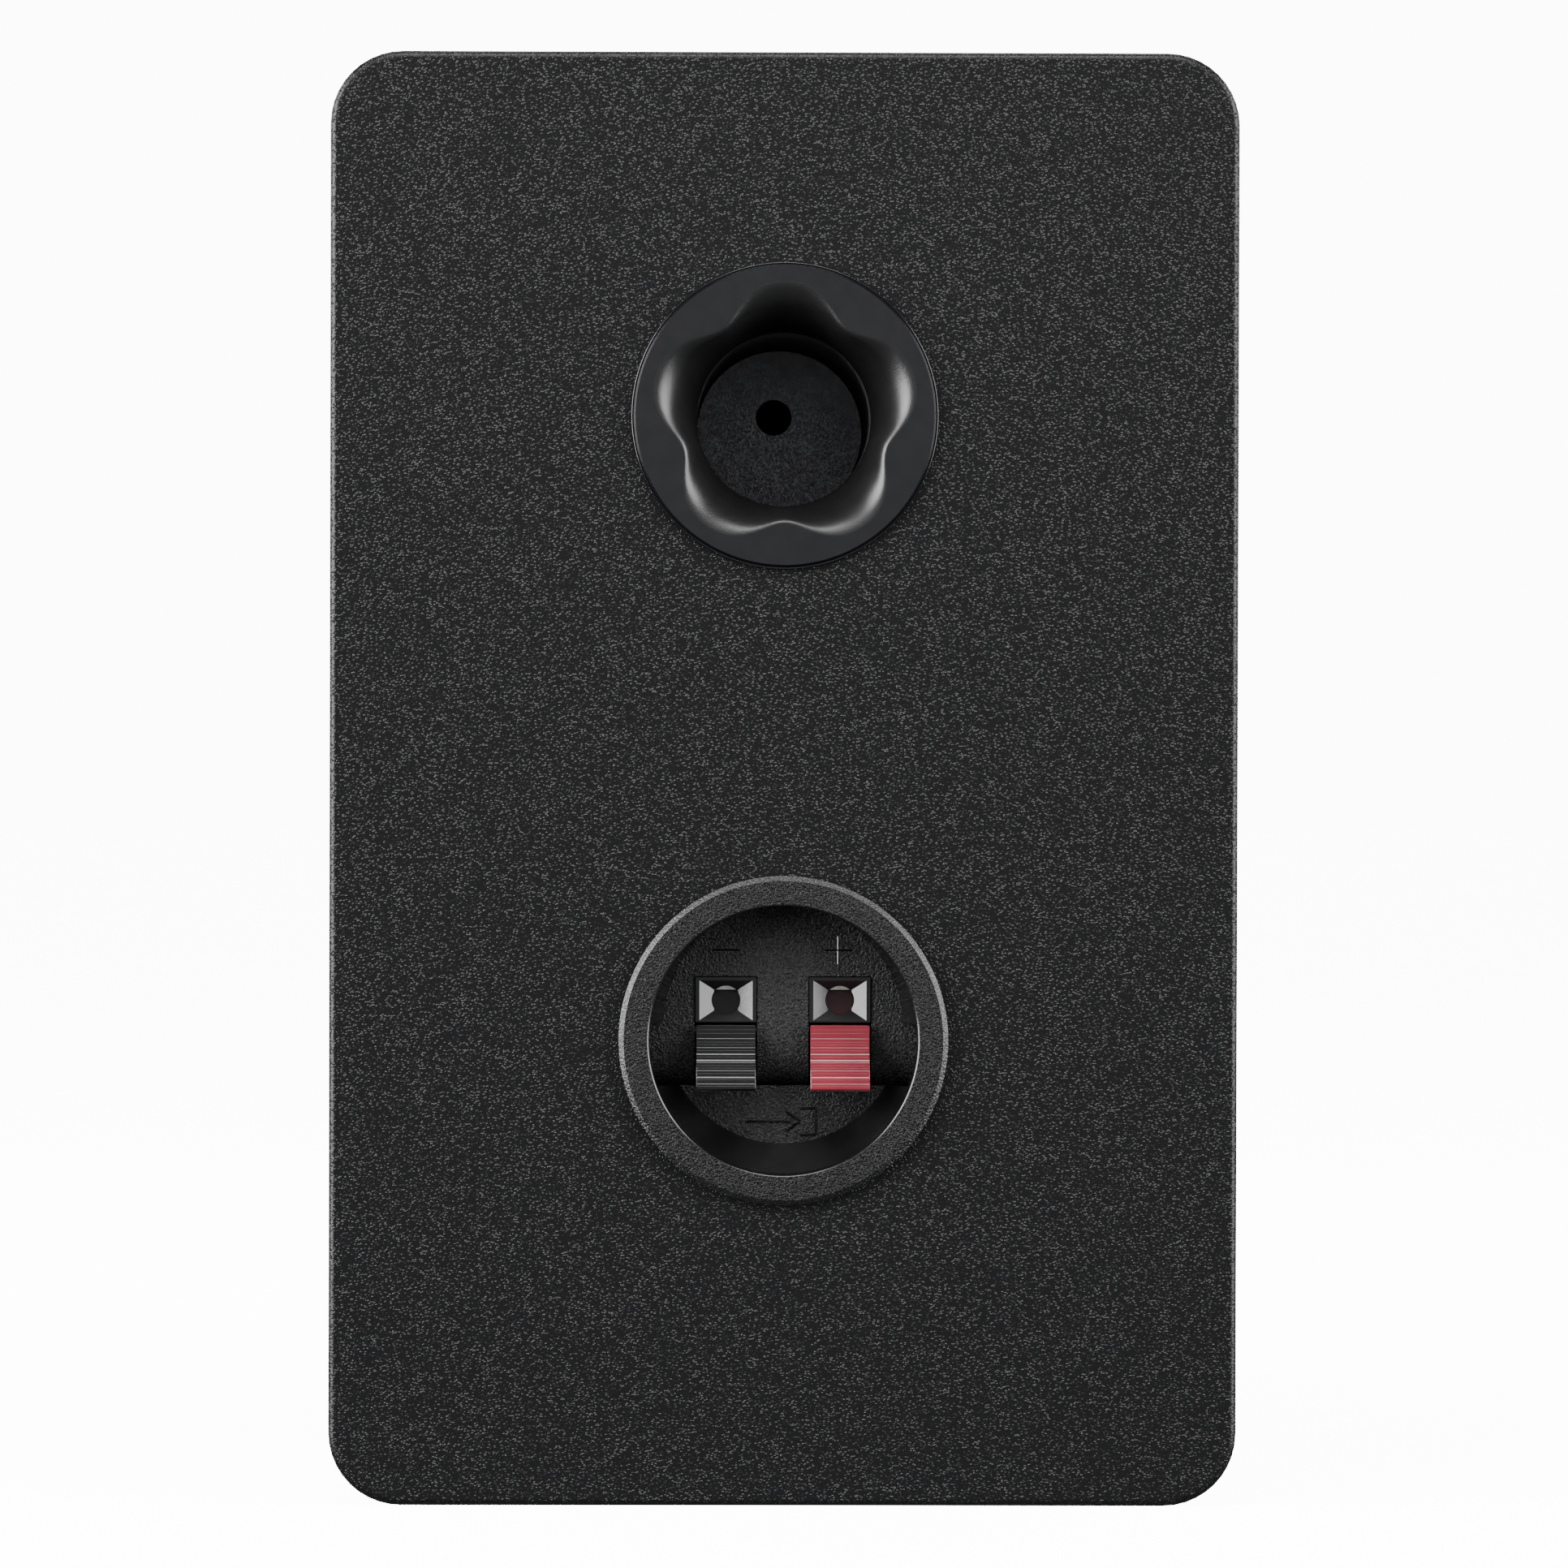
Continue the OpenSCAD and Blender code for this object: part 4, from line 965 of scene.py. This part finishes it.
def woofer_cone():
    """A slightly curved cone with three pressed rings."""
    outer, inner, edge_z, drop, thick, steps = 41, 12.95, -3.6, 16.4, 0.7, 60
    surface = []
    for r in (outer + (inner - outer) * i / steps for i in range(steps + 1)):
        lift = 0.22 * sum(math.exp(-((r - at) / 0.5) ** 2) for at in (27.5, 31.5, 35.5))
        surface.append((r, edge_z - drop * ((outer - r) / (outer - inner)) ** 0.9 + lift))
    profile = ([(43.4, edge_z - 0.35), (43.4, -3.0), (40.6, -3.0)] + surface
               + [(r, z - thick) for r, z in surface[::-1]])
    cone = smoothed(lathe("woofer_cone_paper", profile, WOOFER, 192), 45)
    dress(cone, FIBRE, ["woofer_cone"], "woofer_moving")


def woofer_cap():
    base_r, base = 17.5, -17.4
    dome = dome_profile(base_r, 6.0, base, 24)
    under = [(max(r - 0.4 * (r > 16), 1e-3), z - 0.5) for r, z in dome[::-1]]
    cap = smoothed(lathe("woofer_cap", dome + [(base_r + 0.1, base - 0.15)] + under, WOOFER), 60)
    dress(cap, CAP_GLOSS, ["woofer_dust_cap"], "woofer_moving")


def woofer_spider():
    steps, waves, height, cloth = 120, 5, 1.1, 0.5
    inner, outer, z = 13.0, 35.3, -25.0
    line = []
    for i in range(steps + 1):
        t = i / steps
        wave = math.sqrt(max(math.sin(math.pi * t), 0)) * math.sin(2 * math.pi * waves * t)
        line.append((inner + (outer - inner) * t, z + 0.05 + height * wave))
    profile = line + [(39.2, z), (39.2, z + cloth)] + [(r, h + cloth) for r, h in line[::-1]]
    spider = lathe("woofer_spider_cloth", profile, WOOFER, 160)
    dress(spider, SPIDER, ["woofer_spider"], None)
    radial_blend(spider)


def woofer_tinsel():
    leads = []
    for x in (-7, 7):
        route = spline([(x * 0.7, -23, -15.9), (x * 0.8, -28, -18), (x * 0.9, -34, -19.5), (x, -40, -19),
                        (x, -42.6, -21), (x, -42, -25), (x, -40.1, -29)], 8)
        leads.append(sweep("lead", route, 0.55, 12, WOOFER))
    tinsel = smoothed(joined("woofer_tinsel", leads))
    dress(tinsel, COPPER, ["woofer_tinsel_leads"], None)
    follow(tinsel)


def screw_recess(kind, angle):
    """Radius of a hexagonal or a cross recess at an angle."""
    corner = math.pi / (6 if kind == "hex" else 4)
    part = (angle + corner) % (2 * corner) - corner
    if kind == "hex":
        return 1.55 / math.cos(part)
    half, arm = 0.34, 1.75
    if abs(part) >= corner:
        return half * 1.42
    return min(arm / math.cos(part), half / max(abs(math.sin(part)), 1e-6))


def screws(name, node, place, circle, head, kind, depth):
    """Four screws: turned heads with a driver recess, on straight shanks."""
    sides = 96
    profile = rounded(head)
    top = profile[-1][1]
    rings = [ring(r, z, sides) for r, z in profile]
    for scale, z in ((1.06, top), (1.0, top - 0.08), (0.94, top - depth)):
        rings.append(ring(0, z, sides, shape=lambda a, s=scale: s * screw_recess(kind, a)))
    made = [loft("screw", rings, place @ spot @ Matrix.Rotation(0.4 * k, 4, "Z"), cap=True)
            for k, spot in enumerate(four_spots(circle))]
    dress(smoothed(joined(name, made), 38), BLACK_OXIDE, [node])


# ---------- tweeter ----------

def tweeter():
    plate_r, rear, base, horn_r, horn_curve = 32.0, -2.4, -4.2, 25.6, 9.6
    horn = arc(horn_r, 1 - horn_curve, horn_curve, [96 + 47 * i / 28 for i in range(29)])
    corners = [(15.6, base, 0.1), (21, base, 0), (21, rear, 0), (plate_r, rear, 0.1), (plate_r, 0.4, 0.3),
               (plate_r - 0.6, 1, 0.4), (horn_r, 1, 0)]
    face = lathe("tweeter_plate", rounded(corners) + horn, sides=192)
    countersunk = [(0, -4), (1.7, -4), (1.7, -0.9), (3.5, 1.1), (3.5, 3), (0, 3)]
    for spot in four_spots(28.6):
        boolean(face, lathe("hole", countersunk, spot, 64))
    move_to(face, TWEETER)
    edges_rounded(face, 0.1)
    dress(face, MOULDED, ["tweeter_face_plate"])

    dome_r = 12.5
    skin = dome_profile(dome_r, 5.0, base, 28)
    under = [(max(r - 0.15, 1e-3), z - 0.33) for r, z in skin[::-1]]
    dome = smoothed(lathe("tweeter_silk_dome", skin + under, TWEETER), 60)
    dress(dome, SILK, ["tweeter_dome"], "tweeter_moving")

    inner, outer, clamp = 1.1, 1.4, -4.8
    crown = dome_r + 0.05 + outer
    profile = ([(19, clamp), (19, base)] + arc(crown, base, outer, range(0, 181, 12))
               + arc(crown, base, inner, range(180, -1, -12)) + [(crown + inner, clamp)])
    roll = smoothed(lathe("tweeter_silk_roll", profile, TWEETER), 50)
    dress(roll, SILK, ["tweeter_surround"], None)
    radial_blend(roll)


# ---------- carried-over CAD nodes ----------

KEPT = {
    "woofer_gasket": FOAM, "woofer_basket": GREY_PAINT, "woofer_coil_former": FORMER,
    "woofer_coil_winding": COPPER, "woofer_top_plate": STEEL, "woofer_magnet": FERRITE,
    "woofer_yoke": STEEL, "woofer_terminal_board": PHENOLIC, "woofer_terminal_tabs": BRASS,
    "tweeter_gasket": FOAM, "tweeter_voice_coil": COPPER, "tweeter_top_plate": STEEL,
    "tweeter_magnet": FERRITE, "tweeter_yoke": DARK_ZINC, "tweeter_terminal_board": PHENOLIC,
    "tweeter_terminal_tabs": BRASS, "terminal_gasket": FOAM, "terminal_back_plate": PHENOLIC,
    "lever_pin": STEEL, "contact_negative": NICKEL, "contact_positive": NICKEL,
    "crossover_board": CIRCUIT, "crossover_spacers": NYLON, "crossover_screws": STEEL,
    "inductor_bobbin": MOULDED, "inductor_winding": COPPER, "tweeter_capacitor": FILM_CAP,
    "woofer_capacitor": CAN_CAP, "tweeter_resistor": CERAMIC,
    "input_lead_negative": WIRE_BLACK, "input_lead_positive": WIRE_RED,
    "driver_leads_negative": WIRE_BLACK, "driver_leads_positive": WIRE_RED,
}
# Width of the rounded edge, where it isn't 0.08 mm.
EDGE = {"woofer_magnet": 0.8, "tweeter_magnet": 0.5, "woofer_yoke": 0.6, "woofer_top_plate": 0.4,
        "tweeter_capacitor": 1.2, "woofer_capacitor": 0.9, "tweeter_resistor": 0.5,
        "woofer_basket": 0.25, "inductor_bobbin": 0.25, "tweeter_yoke": 0.4}


def keep_cad_nodes():
    for node, material in KEPT.items():
        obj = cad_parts[node]
        obj.data.materials.clear()
        obj.data.materials.append(material)
        smoothed(obj)
        if "lead" not in node:
            obj.modifiers.new("weld", "WELD").merge_threshold = 1e-6
            edges_rounded(obj, EDGE.get(node, 0.08))


# ---------- stage ----------

def aim(obj, target, roll=0.0):
    direction = Vector(target) - obj.location
    obj.rotation_mode = "QUATERNION"
    turn = Matrix.Rotation(roll, 3, "Z").to_quaternion()
    obj.rotation_quaternion = direction.to_track_quat("-Z", "Y") @ turn


def softbox(name, location, size, power):
    """A rectangular lamp aimed at the middle of the cabinet."""
    data = bpy.data.lights.new(name, "AREA")
    data.shape = "RECTANGLE"
    data.size, data.size_y = size
    data.energy = power
    obj = linked(name, data)
    obj.location = location
    aim(obj, (0, 0, 0.12))


def stage():
    far = 6000
    floor = put("floor", [(-far, -far, 0), (far, -far, 0), (far, far, 0), (-far, far, 0)], [(0, 1, 2, 3)])
    n = Nodes("pale_floor", roughness=0.9, specular=0.1)
    n.colours(n.noise(400, detail=2), [(0.3, grey(0.9)), (0.7, grey(0.92))])
    n.shader.inputs["Emission Color"].default_value = (1, 1, 1, 1)
    n.shader.inputs["Emission Strength"].default_value = WHITE
    floor.data.materials.append(n.material)
    floor.visible_glossy = False
    floor.visible_diffuse = False

    world = bpy.data.worlds.new("studio")
    bpy.context.scene.world = world
    world.use_nodes = True
    tree = world.node_tree
    seen, glow = tree.nodes["Background"], tree.nodes.new("ShaderNodeBackground")
    seen.inputs["Color"].default_value, seen.inputs["Strength"].default_value = (1, 1, 1, 1), WHITE
    glow.inputs["Color"].default_value, glow.inputs["Strength"].default_value = (0.92, 0.95, 1, 1), 0.25
    path, mix = tree.nodes.new("ShaderNodeLightPath"), tree.nodes.new("ShaderNodeMixShader")
    tree.links.new(path.outputs["Is Camera Ray"], mix.inputs["Fac"])
    tree.links.new(glow.outputs["Background"], mix.inputs[1])
    tree.links.new(seen.outputs["Background"], mix.inputs[2])
    tree.links.new(mix.outputs["Shader"], tree.nodes["World Output"].inputs["Surface"])

    softbox("back_left", (1.2, 0.62, 0.4), (1.1, 1.15), 80)
    softbox("back_right", (-1.2, 0.62, 0.4), (1.1, 1.15), 52)
    softbox("back_top", (0, 0.75, 1.25), (0.9, 0.45), 16)
    softbox("back_high", (0, 1.5, 1.1), (1.2, 0.6), 7)
    softbox("back_fill", (0, 2.2, 0.5), (1.6, 1.2), 1.5)
    softbox("front_left", (-1.0, -0.9, 0.5), (0.5, 0.9), 9)
    softbox("front_right", (1.0, -0.9, 0.5), (0.5, 0.9), 9)
    softbox("front_top", (0, -0.6, 1.3), (1.0, 0.6), 6)


def camera():
    """The photograph's view: from behind, nearly square on, far away."""
    away, covers, sensor = 1.25, 0.2586, 36.0
    data = bpy.data.cameras.new("camera")
    data.sensor_width = sensor
    data.lens = sensor * away / covers
    obj = linked("camera", data)
    obj.location = (0.015, BACK * MM + away, 0.135)
    aim(obj, (0, BACK * MM, 0.1193), roll=math.radians(0.15))
    bpy.context.scene.camera = obj


camera()
stage()
cabinet()
wadding()
port()
terminal_cup()
wire_guides()
levers()
lever_springs()
woofer_trim()
woofer_roll()
woofer_cone()
woofer_cap()
woofer_spider()
woofer_tinsel()
screws("woofer_hex_screws", "woofer_screws", WOOFER, 55,
       [(2.0, -13, 0), (2.0, 0.2, 0), (3.2, 0.2, 0.1), (3.2, 1.8, 0.35), (1.9, 1.8, 0)],
       "hex", 1.1)
screws("tweeter_cross_screws", "tweeter_screws", TWEETER, 28.6,
       [(1.5, -12, 0), (1.5, -0.9, 0), (3.0, 0.6, 0.15), (2.2, 0.7, 0.2), (1.95, 0.7, 0)],
       "cross", 0.9)
tweeter()
keep_cad_nodes()
